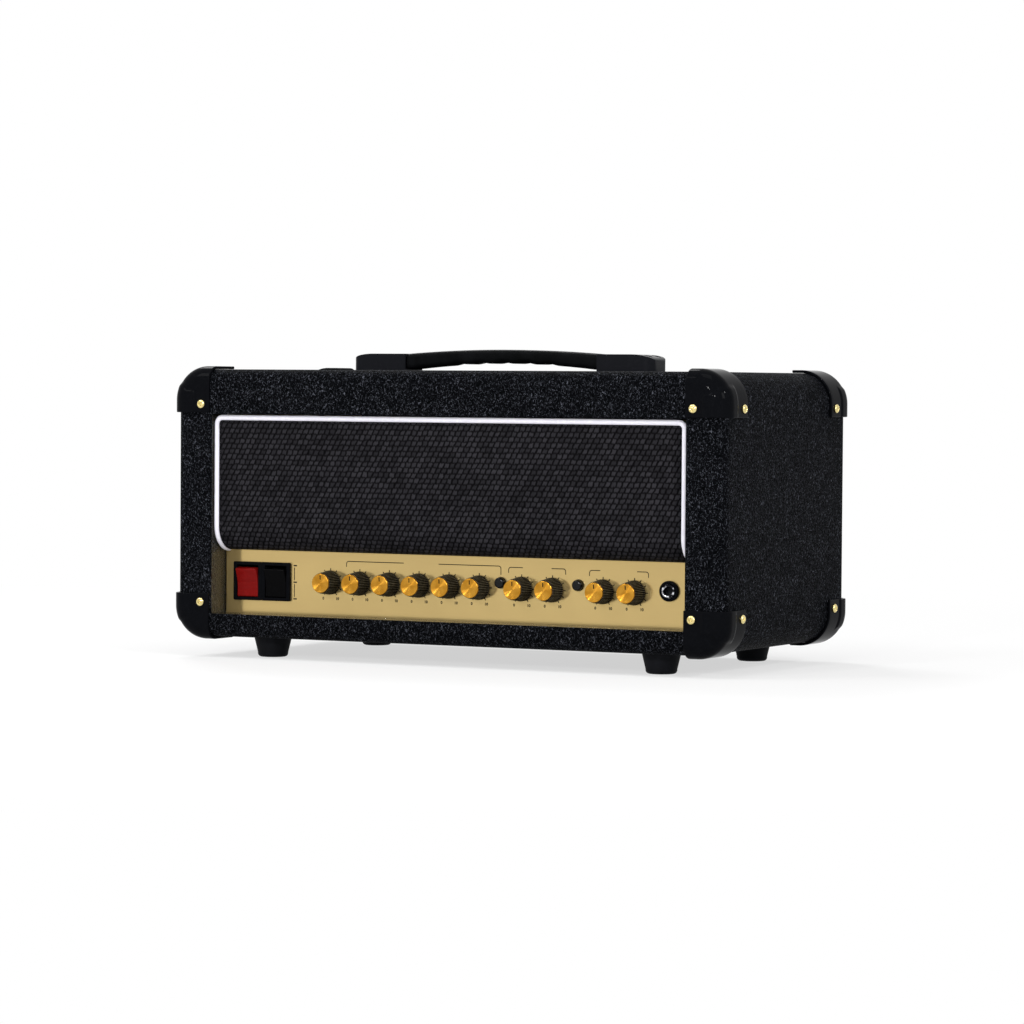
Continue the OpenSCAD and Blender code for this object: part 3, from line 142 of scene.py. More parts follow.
def grid_skin(points, closed=False, caps=(False, False), uv=None):
    """Quads between the rows and columns of a grid of points. closed joins the last column to
    the first, and caps closes the first and the last row with a face each. uv has a column more
    than the points where the grid is closed."""
    rows, cols = points.shape[:2]
    across = cols if closed else cols - 1
    i, j = np.meshgrid(np.arange(rows - 1), np.arange(across), indexing="ij")
    k = (j + 1) % cols
    here, after = i * cols, (i + 1) * cols
    faces = np.stack([here + j, here + k, after + k, after + j], -1).reshape(-1, 4).tolist()
    if uv is None:
        u, v = np.meshgrid(np.arange(across + 1.0), np.arange(rows + 0.0))
        uv = np.stack([u, v], -1)
    loops = [np.stack([uv[i, j], uv[i, j + 1], uv[i + 1, j + 1], uv[i + 1, j]], 2).reshape(-1, 2)]
    for capped, row, order in ((caps[0], 0, -1), (caps[1], rows - 1, 1)):
        if capped:
            ring = np.arange(cols)[::order]
            faces.append((row * cols + ring).tolist())
            loops.append(uv[row, ring])
    return Skin(points.reshape(-1, 3), faces, np.concatenate(loops))


def closed_skin(points, uv=None):
    """A grid that is closed round and at both ends."""
    return grid_skin(points, closed=True, caps=(True, True), uv=uv)


def round_circle(pieces):
    """Evenly spaced angles round a circle, from 0."""
    return np.arange(pieces) * math.tau / pieces


def about_z(r, z, a):
    """Rows of points about Z: (r cos a, r sin a, z). r and z are columns, or have a value for
    each point."""
    return np.stack(np.broadcast_arrays(r * np.cos(a), r * np.sin(a), z), -1)


def turned(profile, pieces, caps=(True, True)):
    """A profile of radius and height turned about Z."""
    profile = np.asarray(profile, float)
    points = about_z(profile[:, :1], profile[:, 1:], round_circle(pieces))
    return grid_skin(points, closed=True, caps=caps)


def prism(section, start, stop):
    """A flat outline carried straight along Z from start to stop."""
    return closed_skin(np.stack([np.insert(section, 2, z, axis=1) for z in (start, stop)]))


def outline(half_w, half_h, radius, sides, steps):
    """Points round a rectangle whose corners are arcs: corner centre + radius * (cos a, sin a),
    with evenly spaced points on the sides between them. sides are the pieces of a level and of
    an upright side, and steps those of a corner. Sizes may be arrays, one for each outline."""
    size = np.stack(np.broadcast_arrays(half_w, half_h), -1).astype(float)[..., None, :]
    r = np.asarray(radius, float)[..., None, None]
    turn = np.linspace(0, QUARTER, steps + 1)
    arcs = []
    for k, sign in enumerate(((1, 1), (-1, 1), (-1, -1), (1, -1))):
        way = np.stack([np.cos(turn + k * QUARTER), np.sin(turn + k * QUARTER)], -1)
        arcs.append(np.array(sign) * (size - r) + r * way)
    loop = []
    for k in range(4):
        n = sides[k % 2]
        t = np.arange(1, n)[:, None] / n
        start, stop = arcs[k][..., -1:, :], arcs[(k + 1) % 4][..., :1, :]
        loop += [arcs[k], start + t * (stop - start)]
    return np.concatenate(loop, -2)


def tube(path, radius, sides):
    """A circle carried along a path: path + radius * (cos a * n + sin a * b), where n and b are
    square to the path's direction and to each other."""
    way = np.gradient(path, axis=0)
    way /= np.linalg.norm(way, axis=1)[:, None]
    n = np.cross(way, [0.36, 0.48, 0.8])
    n /= np.linalg.norm(n, axis=1)[:, None]
    b = np.cross(way, n)
    a = round_circle(sides)[:, None]
    ring = radius * np.cos(a) * n[:, None] + radius * np.sin(a) * b[:, None]
    return closed_skin(path[:, None] + ring)


def step(value, low, high):
    """Smooth step: 3 t^2 - 2 t^3 between low and high, 0 before and 1 after."""
    t = np.clip((np.asarray(value, float) - low) / (high - low), 0, 1)
    return t * t * (3 - 2 * t)


def arc(centre, radius, start, stop, pieces):
    """Points on an arc: centre + radius * (cos a, sin a), with a from start to stop in degrees."""
    a = np.radians(np.linspace(start, stop, pieces + 1))
    return np.array(centre) + radius * np.stack([np.cos(a), np.sin(a)], -1)


def placed(skin, origin, z_way, x_way=RIGHT):
    """A skin carried from its own axes to an origin, with its X along x_way and its Z along
    z_way."""
    x, z = np.array(x_way, float), np.array(z_way, float)
    points = skin.points @ np.stack([x, np.cross(z, x), z]) + np.array(origin)
    return Skin(points, skin.faces, skin.uv)


# ---------------------------------------------------------------- pieces

def put(name, data):
    """A new object in the scene."""
    made = bpy.data.objects.new(name, data)
    bpy.context.scene.collection.objects.link(made)
    return made


def as_piece(name, mesh, nodes, body):
    """An object that shows a mesh, rides on a body and stands for solids of the frame."""
    piece = put(name, mesh)
    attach(piece, body)
    if nodes:
        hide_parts(*nodes)
    return piece


def merged(mesh):
    """A mesh opened for work, with its doubles merged."""
    work = bmesh.new()
    work.from_mesh(mesh)
    bmesh.ops.remove_doubles(work, verts=work.verts, dist=SAME_POINT)
    return work


def make_piece(name, parts, nodes, body=CABINET, seen_from=None, angle=SHARP):
    """One mesh object from skins and their materials, at the origin, in metres. Doubles are
    merged, then the faces of closed skins are turned outwards; an open skin is turned away from
    the point seen_from. Edges sharper than angle are shaded sharp."""
    points, faces, loops, kinds, finishes = [], [], [], [], []
    start = 0
    for skin, material in parts:
        if material not in finishes:
            finishes.append(material)
        points.append(skin.points)
        faces += [[start + v for v in face] for face in skin.faces]
        loops.append(skin.uv)
        kinds += [finishes.index(material)] * len(skin.faces)
        start += len(skin.points)
    mesh = bpy.data.meshes.new(name)
    mesh.from_pydata((np.concatenate(points) * MM).tolist(), [], faces)
    mesh.uv_layers.new(name="UVMap").data.foreach_set("uv", np.concatenate(loops).ravel())
    mesh.polygons.foreach_set("material_index", kinds)
    for material in finishes:
        mesh.materials.append(material)
    work = merged(mesh)
    if seen_from is None:
        bmesh.ops.recalc_face_normals(work, faces=work.faces)
    else:
        inside = Vector(seen_from) * MM
        outwards = sum(
            (face.calc_center_median() - inside).dot(face.normal) * face.calc_area()
            for face in work.faces)
        if outwards < 0:
            bmesh.ops.reverse_faces(work, faces=work.faces)
    work.to_mesh(mesh)
    work.free()
    mesh.shade_smooth()
    mesh.set_sharp_from_angle(angle=math.radians(angle))
    return as_piece(name, mesh, nodes, body)


def wall(piece, thickness):
    """Gives an open skin its thickness, inwards."""
    solid = piece.modifiers.new("wall", "SOLIDIFY")
    solid.thickness = thickness * MM
    solid.offset = -1
    solid.use_even_offset = True


def round_edges(piece, width, segments=2, weighted=False):
    """Rounds the sharp edges of a piece and keeps its flat faces flat in shading."""
    bevel = piece.modifiers.new("rounded edges", "BEVEL")
    bevel.width = width * MM
    bevel.segments = segments
    bevel.limit_method = "WEIGHT" if weighted else "ANGLE"
    bevel.angle_limit = math.radians(SHARP)
    level = piece.modifiers.new("flat faces", "WEIGHTED_NORMAL")
    level.keep_sharp = True


def eased(node, width, material, segments=2, pick=None):
    """A copy of a solid's mesh, with its doubles merged, its flat triangles joined, and its sharp
    edges rounded. pick chooses the edges by their middle, in millimetres."""
    mesh = frame["nodes"][node].data.copy()
    mesh.name = node + "_eased"
    work = merged(mesh)
    flat = math.radians(0.5)
    bmesh.ops.dissolve_limit(work, angle_limit=flat, verts=work.verts, edges=work.edges)
    if pick:
        weight = work.edges.layers.float.new("bevel_weight_edge")
        for edge in work.edges:
            if len(edge.link_faces) == 2 and edge.calc_face_angle() > math.radians(40):
                middle = (edge.verts[0].co + edge.verts[1].co) / 2 / MM
                edge[weight] = float(pick(middle))
    work.to_mesh(mesh)
    work.free()
    mesh.materials.clear()
    mesh.materials.append(material)
    mesh.shade_smooth()
    if pick:
        mesh.set_sharp_from_angle(angle=math.radians(SHARP))
    piece = as_piece(mesh.name, mesh, [node], CABINET)
    round_edges(piece, width, segments, weighted=pick is not None)
    return piece


def dress(material, *nodes):
    """Gives solids that are left showing their finish."""
    for node in nodes:
        for place in frame["nodes"][node].material_slots:
            place.material = material


# ---------------------------------------------------------------- materials

def rgb(code):
    """An sRGB hex colour as linear red, green, blue and alpha."""
    srgb = np.array([int(code[k:k + 2], 16) for k in (1, 3, 5)]) / 255
    linear = np.where(srgb <= 0.04045, srgb / 12.92, ((srgb + 0.055) / 1.055) ** 2.4)
    return (*linear.tolist(), 1.0)


def add(tree, kind, sockets=None, **settings):
    """Adds one node with its own settings. sockets gives inputs, by name or number, a value, or
    the socket that feeds them, or a node, whose first output in use does. Map Range counts value,
    from low, from high, to low and to high; Mix has its share at 0 and its colours at 6 and 7."""
    node = tree.nodes.new("ShaderNode" + kind)
    for name, value in settings.items():
        setattr(node, name, value)
    for key, value in (sockets or {}).items():
        if isinstance(value, bpy.types.Node):
            value = next(output for output in value.outputs if output.enabled)
        if isinstance(value, bpy.types.NodeSocket):
            tree.links.new(value, node.inputs[key])
        else:
            node.inputs[key].default_value = value
    return node


def begin(name):
    """An empty material and its node tree."""
    material = bpy.data.materials.new(name)
    material.use_nodes = True
    tree = material.node_tree
    tree.nodes.clear()
    return material, tree


def end(material, share, low, high, sockets):
    """Adds the shader, with its base colour between low and high by a share from 0 to 1, and its
    other inputs. Gives the material back."""
    tree = material.node_tree
    colour = add(tree, "Mix", {0: share, 6: low, 7: high}, data_type="RGBA")
    shader = add(tree, "BsdfPrincipled", {"Base Color": colour, **sockets})
    add(tree, "OutputMaterial", {"Surface": shader})
    return material


def in_mm(tree, source="Object"):
    """Object coordinates or the piece's own UV map, as millimetres."""
    coords = add(tree, "TexCoord")
    scale = 1 / MM if source == "Object" else 1.0
    return add(tree, "VectorMath", {0: coords.outputs[source], "Scale": scale}, operation="SCALE")


def wandering(tree, place, scale, reach):
    """A place moved off by slow noise: place + reach * (noise - 0.5)."""
    drift = add(tree, "TexNoise", {"Vector": place, "Scale": scale, "Detail": 1.0})
    middle = (0.5, 0.5, 0.5)
    bend = add(tree, "VectorMath", {0: drift.outputs["Color"], 1: middle}, operation="SUBTRACT")
    bend = add(tree, "VectorMath", {0: bend, "Scale": reach}, operation="SCALE")
    return add(tree, "VectorMath", {0: place, 1: bend})


def patchy(tree, place, scale, detail, low, high, least=0.0):
    """A share from least to 1 that wanders over the piece, as noise goes from low to high."""
    noise = add(tree, "TexNoise", {"Vector": place, "Scale": scale, "Detail": detail})
    return add(tree, "MapRange", {0: noise, 1: low, 2: high, 3: least})


def levant_vinyl(name, look, specular, roughness, glint, deep=1.0):
    """PVC cloth embossed with a levant grain: soft pebbles parted by worm-like creases, longer up
    and down than across. Short curved glints along the creases' rims are painted into the colour as
    painted highlights, in patches, and the rims are also a little less rough; the pebbles' crowns
    are painted a little paler than the creases, painted light and shade, on a skin that is nearly
    black. The creases are 0.3 mm wide and about 1.7 mm apart, and are drawn twice as deep as the
    real 0.2 mm, so that they show."""
    material, tree = begin(name)
    mm = in_mm(tree)
    place = wandering(tree, mm, 0.3, 2.4)
    place = add(tree, "VectorMath", {0: place, 1: (1.0, 1.0, 0.66)}, operation="MULTIPLY")
    grain = {"Vector": place, "Scale": 1 / look.grain_mm}
    cells = add(tree, "TexVoronoi", {**grain, "Smoothness": 0.6}, feature="SMOOTH_F1")
    pebble = add(tree, "MapRange", {0: cells, 1: 0.75, 2: 0.1})
    field = add(tree, "TexNoise", {**grain, "Detail": 1.0, "Distortion": 0.4})
    near = add(tree, "Math", {0: field, 1: 0.5}, operation="SUBTRACT")
    near = add(tree, "Math", {0: near}, operation="ABSOLUTE")
    crease = add(tree, "MapRange", {0: near, 1: 0.042, 2: 0.0}, interpolation_type="SMOOTHSTEP")
    breaks = add(tree, "TexNoise", {**grain, "Scale": grain["Scale"] * 1.1, "Detail": 0.0})
    lit = add(tree, "MapRange", {0: breaks, 1: 0.3, 2: 0.66}, interpolation_type="SMOOTHSTEP")
    rim = add(tree, "Math", {0: crease, 1: lit}, operation="MULTIPLY")
    patches = patchy(tree, mm, 0.09, 2.0, 0.3, 0.7, 0.5)
    rim = add(tree, "Math", {0: rim, 1: patches}, operation="MULTIPLY")
    height = add(tree, "Math", {0: crease, 1: 0.8, 2: pebble}, operation="MULTIPLY_ADD")
    depth = deep * look.grain_depth_mm * MM
    bump = add(tree, "Bump", {"Height": height, "Strength": 1.0, "Distance": depth})
    # painted light and shade: the pebbles' crowns are painted paler than the creases
    colours = {0: pebble, 6: rgb("#030405"), 7: rgb("#0E0F12")}
    skin = add(tree, "Mix", colours, data_type="RGBA")
    rough = add(tree, "MapRange", {0: rim, 3: roughness, 4: roughness * 0.7})
    # the glint colour is painted along the creases' rims: painted highlights
    return end(material, rim, skin, rgb(glint), {
        "Roughness": rough, "Specular IOR Level": specular, "Normal": bump})


def moulded_plastic(name, colour, roughness, specular, grain=0.0):
    """Moulded ABS, nylon or vinyl, and smooth coats such as ink or glaze: an even colour under a
    skin with faint flow waves and hairline scuffs, and an eroded mould's fine grain if any."""
    material, tree = begin(name)
    mm = in_mm(tree)
    waves = add(tree, "TexNoise", {"Vector": mm, "Scale": 0.06, "Detail": 1.0})
    fine = add(tree, "TexNoise", {"Vector": mm, "Scale": 2.6, "Detail": 2.0})
    height = add(tree, "Math", {0: fine, 1: grain, 2: waves}, operation="MULTIPLY_ADD")
    bump = add(tree, "Bump", {"Height": height, "Strength": 0.35, "Distance": 0.12 * MM})
    scuffs = add(tree, "TexNoise", {"Vector": mm, "Scale": 0.25, "Detail": 4.0, "Distortion": 1.5})
    smooth, rubbed = roughness * 0.8, min(1.0, roughness * 1.35)
    rough = add(tree, "MapRange", {0: scuffs, 1: 0.35, 2: 0.75, 3: smooth, 4: rubbed})
    base = rgb(colour)
    worn = tuple(min(1.0, c * 1.5 + 0.0015) for c in base[:3]) + (1.0,)
    share = add(tree, "MapRange", {0: scuffs, 1: 0.5, 2: 0.8, 4: 0.5})
    return end(material, share, base, worn, {
        "Roughness": rough, "Specular IOR Level": specular, "Normal": bump})


def fluted_phenolic(name):
    """Compression-moulded phenolic with flutes: black, with a painted highlight that makes its
    crests paler in patches, and the valleys kept black. The UV map's U counts the steps round the
    skirt, with a crest at each flute."""
    material, tree = begin(name)
    split = add(tree, "SeparateXYZ", {0: in_mm(tree, "UV")})
    turn = add(tree, "Math", {0: split.outputs[0], 1: 1 / STEPS_A_FLUTE}, operation="MULTIPLY")
    valley = add(tree, "Math", {0: turn, 1: 0.5}, operation="PINGPONG")
    crest = add(tree, "MapRange", {0: valley, 1: 0.22, 2: 0.02}, interpolation_type="SMOOTHSTEP")
    # painted highlight on the flute crests, broken into patches
    highlight_patches = patchy(tree, in_mm(tree), 0.35, 2.0, 0.3, 0.7, 0.45)
    share = add(tree, "Math", {0: crest, 1: highlight_patches}, operation="MULTIPLY")
    # the paler colour on the crests is a painted highlight
    return end(material, share, rgb("#020202"), rgb("#6E6858"), {
        "Roughness": 0.25, "Specular IOR Level": 0.06})


def plated_metal(name, colour, roughness, tarnish_and_reflection, spread, bump_mm=0.02, size_mm=2.5):
    """Plated or pressed metal: a mirror broken by fine marks, with a second colour in patches: a
    duller colour where handling and air have tarnished it, and on bright nickel a near-black colour
    that is a painted reflection."""
    material, tree = begin(name)
    mm = in_mm(tree)
    marks = add(tree, "TexNoise", {"Vector": mm, "Scale": 1 / size_mm, "Detail": 4.0})
    bump = add(tree, "Bump", {"Height": marks, "Strength": 0.5, "Distance": bump_mm * MM})
    share = add(tree, "MapRange", {0: marks, 1: 0.4, 2: 0.8, 4: spread})
    smooth, dulled = roughness * 0.8, roughness * 1.4
    rough = add(tree, "MapRange", {0: marks, 1: 0.3, 2: 0.8, 3: smooth, 4: dulled})
    # the second colour is real tarnish, except on bright nickel, where it is a painted reflection
    return end(material, share, rgb(colour), rgb(tarnish_and_reflection), {
        "Metallic": 1.0, "Roughness": rough, "Normal": bump})


def spun_gold(name, colour):
    """Gold anodised aluminium, faced on a lathe: rings too fine to see draw each highlight out
    into a wedge from the middle to the rim. Their way round comes from the UV map's U."""
    material, tree = begin(name)
    share = patchy(tree, in_mm(tree), 0.15, 1.0, 0.35, 0.65)
    along = add(tree, "Tangent", direction_type="UV_MAP", uv_map="UVMap")
    return end(material, share, rgb(colour), rgb("#C58F33"), {
        "Metallic": 1.0, "Roughness": 0.27, "Anisotropic": 0.96, "Anisotropic Rotation": 0.25,
        "Tangent": along})


def gold_panel_finish(name, look):
    """Aluminium sheet, grained and gold anodised, then lacquered: satin, with a fine level grain
    that only shows close to a reflection."""
    material, tree = begin(name)
    mm = in_mm(tree)
    long = add(tree, "VectorMath", {0: mm, 1: (0.04, 1.0, 2.5)}, operation="MULTIPLY")
    grain = add(tree, "TexNoise", {"Vector": long, "Scale": 1.0, "Detail": 3.0})
    cloud = add(tree, "TexNoise", {"Vector": mm, "Scale": 0.012, "Detail": 1.0})
    share = add(tree, "Math", {0: grain, 1: 0.35, 2: cloud}, operation="MULTIPLY_ADD")
    share = add(tree, "MapRange", {0: share, 1: 0.4, 2: 0.95})
    bump = add(tree, "Bump", {"Height": grain, "Strength": 0.25, "Distance": 0.02 * MM})
    low = tuple(c * 0.93 for c in look.gold[:3]) + (1.0,)
    return end(material, share, low, (*look.gold, 1.0), {
        "Metallic": 0.72, "Roughness": 0.13, "Specular IOR Level": 0.2, "Normal": bump})


def grille_weave(name, look):
    """Black plastic-coated yarn in a basket weave: each row's bundles lean, and stand half a step
    from the next row's, two strands to a bundle. The bundles are uneven; their crowns are painted a
    dull grey, a painted sheen, and the gaps between them are painted black, painted shade."""
    material, tree = begin(name)
    flat = in_mm(tree, "UV")
    place = wandering(tree, flat, 0.22, 2.2)
    split = add(tree, "SeparateXYZ", {0: place})
    row = add(tree, "Math", {0: split.outputs[1], 1: look.weave_row_mm}, operation="DIVIDE")
    number = add(tree, "Math", {0: row}, operation="FLOOR")
    column = add(tree, "Math", {0: split.outputs[0], 1: look.weave_pitch_mm}, operation="DIVIDE")
    column = add(tree, "Math", {0: number, 1: -0.2, 2: column}, operation="MULTIPLY_ADD")
    column = add(tree, "Math", {0: row, 1: -0.3, 2: column}, operation="MULTIPLY_ADD")
    waves = []
    for value, turn in ((column, math.pi), (row, math.pi), (column, math.tau)):
        wave = add(tree, "Math", {0: value, 1: turn}, operation="MULTIPLY")
        wave = add(tree, "Math", {0: wave}, operation="SINE")
        waves.append(add(tree, "Math", {0: wave}, operation="ABSOLUTE"))
    bundle, gap, strand = waves
    gap = add(tree, "Math", {0: gap, 1: 0.6}, operation="POWER")
    crown = add(tree, "Math", {0: bundle, 1: gap}, operation="MULTIPLY")
    crown = add(tree, "Math", {0: strand, 1: 0.3, 2: crown}, operation="MULTIPLY_ADD")
    cell = add(tree, "Math", {0: column}, operation="FLOOR")
    cell = add(tree, "CombineXYZ", {0: cell, 1: number})
    chance = add(tree, "TexWhiteNoise", {"Vector": cell}, noise_dimensions="2D")
    chance = add(tree, "MapRange", {0: chance, 3: 0.45, 4: 1.0})
    yarn = add(tree, "VectorMath", {0: place, 1: (1.1, 0.5, 1.0)}, operation="MULTIPLY")
    yarn = add(tree, "TexNoise", {"Vector": yarn, "Scale": 1.0, "Detail": 2.0})
    height = add(tree, "Math", {0: yarn, 1: 0.5, 2: crown}, operation="MULTIPLY_ADD")
    # by height: painted sheen on the crowns and painted shade in the gaps
    share = add(tree, "MapRange", {0: height, 1: 0.35, 2: 1.4}, interpolation_type="SMOOTHSTEP")
    share = add(tree, "Math", {0: share, 1: chance}, operation="MULTIPLY")
    patch = patchy(tree, flat, 0.03, 2.0, 0.3, 0.7, 0.8)
    share = add(tree, "Math", {0: share, 1: patch}, operation="MULTIPLY")
    bump = add(tree, "Bump", {"Height": height, "Strength": 0.9, "Distance": 0.5 * MM})
    return end(material, share, rgb("#020203"), rgb("#313034"), {
        "Roughness": 0.7, "Specular IOR Level": 0.03, "Normal": bump})


def rubber_finish(name, colour, roughness, grain_mm, specular):
    """Moulded rubber, soft vinyl or powder coat: matt, with a sandy skin and a chalky bloom."""
    material, tree = begin(name)
    mm = in_mm(tree)
    sand = add(tree, "TexNoise", {"Vector": mm, "Scale": 1 / grain_mm, "Detail": 3.0})
    bump = add(tree, "Bump", {"Height": sand, "Strength": 0.6, "Distance": 0.12 * MM})
    share = patchy(tree, mm, 0.08, 3.0, 0.35, 0.75)
    return end(material, share, rgb(colour), rgb("#121315"), {
        "Roughness": roughness, "Specular IOR Level": specular, "Normal": bump})


def plywood(name, axis):
    """Bare birch plywood: pale veneers with fine long fibres, and darker glue lines every
    2.8 mm through the board's thickness, which runs along one axis."""
    veneer_mm = 2.8
    material, tree = begin(name)
    mm = in_mm(tree)
    split = add(tree, "SeparateXYZ", {0: mm})
    layer = add(tree, "Math", {0: split.outputs[axis], 1: veneer_mm / 2}, operation="PINGPONG")
    glue = add(tree, "MapRange", {0: layer, 1: 0.0, 2: 0.3})
    fibre_axis = 0 if axis == 1 else 1
    stretch = tuple(0.03 if k == fibre_axis else 1.2 for k in range(3))
    fibre = add(tree, "VectorMath", {0: mm, 1: stretch}, operation="MULTIPLY")
    fibre = add(tree, "TexNoise", {"Vector": fibre, "Scale": 1.0, "Detail": 4.0, "Distortion": 0.3})
    colours = {0: fibre, 6: rgb("#A9834F"), 7: rgb("#D9B985")}
    wood = add(tree, "Mix", colours, data_type="RGBA")
    bump = add(tree, "Bump", {"Height": fibre, "Strength": 0.4, "Distance": 0.15 * MM})
    return end(material, glue, rgb("#6B4A2A"), wood, {"Roughness": 0.7, "Normal": bump})


def striped(name, axis, pitch_mm, low, high, roughness, metallic=0.0):
    """Stacked laminations, turns of tape or folds of a sleeve: an edge every pitch, and the colour
    patchy between them."""
    material, tree = begin(name)
    mm = in_mm(tree)
    split = add(tree, "SeparateXYZ", {0: mm})
    line = add(tree, "Math", {0: split.outputs[axis], 1: pitch_mm / 2}, operation="PINGPONG")
    line = add(tree, "MapRange", {0: line, 1: 0.0, 2: pitch_mm / 2})
    spots = add(tree, "TexNoise", {"Vector": mm, "Scale": 0.3, "Detail": 3.0})
    share = add(tree, "Math", {0: line, 1: spots}, operation="MULTIPLY")
    share = add(tree, "Math", {0: share, 1: 1.6}, operation="MULTIPLY", use_clamp=True)
    bump = add(tree, "Bump", {"Height": line, "Strength": 0.7, "Distance": 0.1 * MM})
    return end(material, share, rgb(low), rgb(high), {
        "Roughness": roughness, "Metallic": metallic, "Normal": bump})


def circuit_board(name):
    """Fibreglass board under green solder resist: square tracks show as paler, raised lines."""
    material, tree = begin(name)
    mm = in_mm(tree)
    squares = {"Vector": mm, "Scale": 0.14}
    tracks = add(tree, "TexVoronoi", squares, distance="CHEBYCHEV", feature="F2")
    line = add(tree, "Math", {0: tracks, 1: 0.09}, operation="PINGPONG")
    line = add(tree, "MapRange", {0: line, 1: 0.03, 2: 0.06})
    bump = add(tree, "Bump", {"Height": line, "Strength": 0.4, "Distance": 0.05 * MM})
    return end(material, line, rgb("#0C3A1D"), rgb("#1D6B38"), {
        "Roughness": 0.35, "Normal": bump})


def valve_glass(name):
    """Blown soda-lime glass, clear, with faint waves."""
    material, tree = begin(name)
    waves = add(tree, "TexNoise", {"Vector": in_mm(tree), "Scale": 0.08, "Detail": 1.0})
    bump = add(tree, "Bump", {"Height": waves, "Strength": 0.3, "Distance": 0.2 * MM})
    shader = add(tree, "BsdfPrincipled", {
        "Base Color": rgb("#F4F8F8"), "Roughness": 0.03, "IOR": 1.5, "Transmission Weight": 1.0,
        "Normal": bump})
    add(tree, "OutputMaterial", {"Surface": shader})
    return material


def palette(look):
    """Every finish of the amplifier, by a short name."""
    return {
        # the vinyl's glint colour is a painted highlight
        "vinyl": levant_vinyl("levant_vinyl", look, 0.005, 0.5, "#646771"),
        # the liner's warm gold-brown glint colour is a painted reflection of the gold panel, on top
        # of its real specular
        "liner": levant_vinyl("levant_vinyl_in_recess", look, 0.7, 0.2, "#6A6450", deep=1.8),
        "gloss": moulded_plastic("polished_black_abs", "#0A0B0E", 0.07, 0.015),
        "cap": moulded_plastic("handled_black_abs", "#18191D", 0.2, 0.04),
        "satin": moulded_plastic("satin_black_nylon", "#121315", 0.35, 0.06, grain=0.5),
        # the knobs' flute crests carry a painted highlight
        "knob": fluted_phenolic("black_phenolic_painted_crest_highlights"),
        "button": moulded_plastic("black_button_abs", "#050607", 0.1, 0.2),
        "red": moulded_plastic("red_rocker_polycarbonate", "#760F0D", 0.2, 0.05),
        "rocker": moulded_plastic("black_rocker_polycarbonate", "#040405", 0.12, 0.03),
        "brass": plated_metal("brass_plated_steel", "#E3D294", 0.2, "#9A8452", 0.4),
        "zinc": plated_metal("bright_zinc_plated_steel", "#B9BDC2", 0.34, "#7E8288", 0.4),
        "pressed": plated_metal("pressed_zinc_steel", "#A9ADB1", 0.42, "#74787C", 0.4, 0.03, 6.0),
        "aluminium": plated_metal("stamped_aluminium", "#C2C4C6", 0.4, "#8D9093", 0.3),
        # the near-black patches on the bright nickel are a painted reflection
        "chrome": plated_metal("bright_nickel_plate", "#E2E2E8", 0.12, "#17171A", 3.0, 0.02, 4.0),
        "gold_cap": spun_gold("spun_gold_anodised_aluminium", "#B37D26"),
        "gold_panel": gold_panel_finish("gold_anodised_sheet", look),
        "ink": moulded_plastic("black_screen_ink", "#100D08", 0.6, 0.06),
        "white_ink": moulded_plastic("white_screen_ink", "#D9D9D6", 0.6, 0.3),
        "piping": moulded_plastic("white_vinyl_piping", "#E6E4EE", 0.35, 0.3, grain=0.3),
        "cloth": grille_weave("basket_woven_grille_cloth", look),
        "rubber": rubber_finish("moulded_rubber", "#191A1E", 0.6, 0.6, 0.05),
        "strap": rubber_finish("soft_moulded_vinyl", "#090A0B", 0.45, 0.8, 0.02),
        "powder": rubber_finish("satin_powder_coat_on_steel", "#0B0C0D", 0.42, 0.5, 0.05),
        "pcb": circuit_board("green_circuit_board"),
        "laminations": striped("lacquered_laminations", 0, 1.0, "#0B0B0C", "#2A2A2C", 0.5, 0.6),
        "winding": striped("taped_winding", 2, 6.0, "#8E6A1E", "#C79A3C", 0.4),
        "sleeve": striped("shrunk_capacitor_sleeve", 2, 30.0, "#10163A", "#1C2A62", 0.3),
        "ceramic": moulded_plastic("glazed_steatite", "#DCD6C6", 0.25, 0.5),
        "glass": valve_glass("valve_glass"),
        "anode": plated_metal("blackened_nickel_anode", "#4A4B4D", 0.5, "#1C1C1D", 0.7),
        "getter": plated_metal("getter_mirror", "#9A9CA0", 0.12, "#3A3A3C", 0.5),
        "bakelite": moulded_plastic("brown_bakelite_base", "#2A120A", 0.28, 0.3),
    }


# ---------------------------------------------------------------- settings

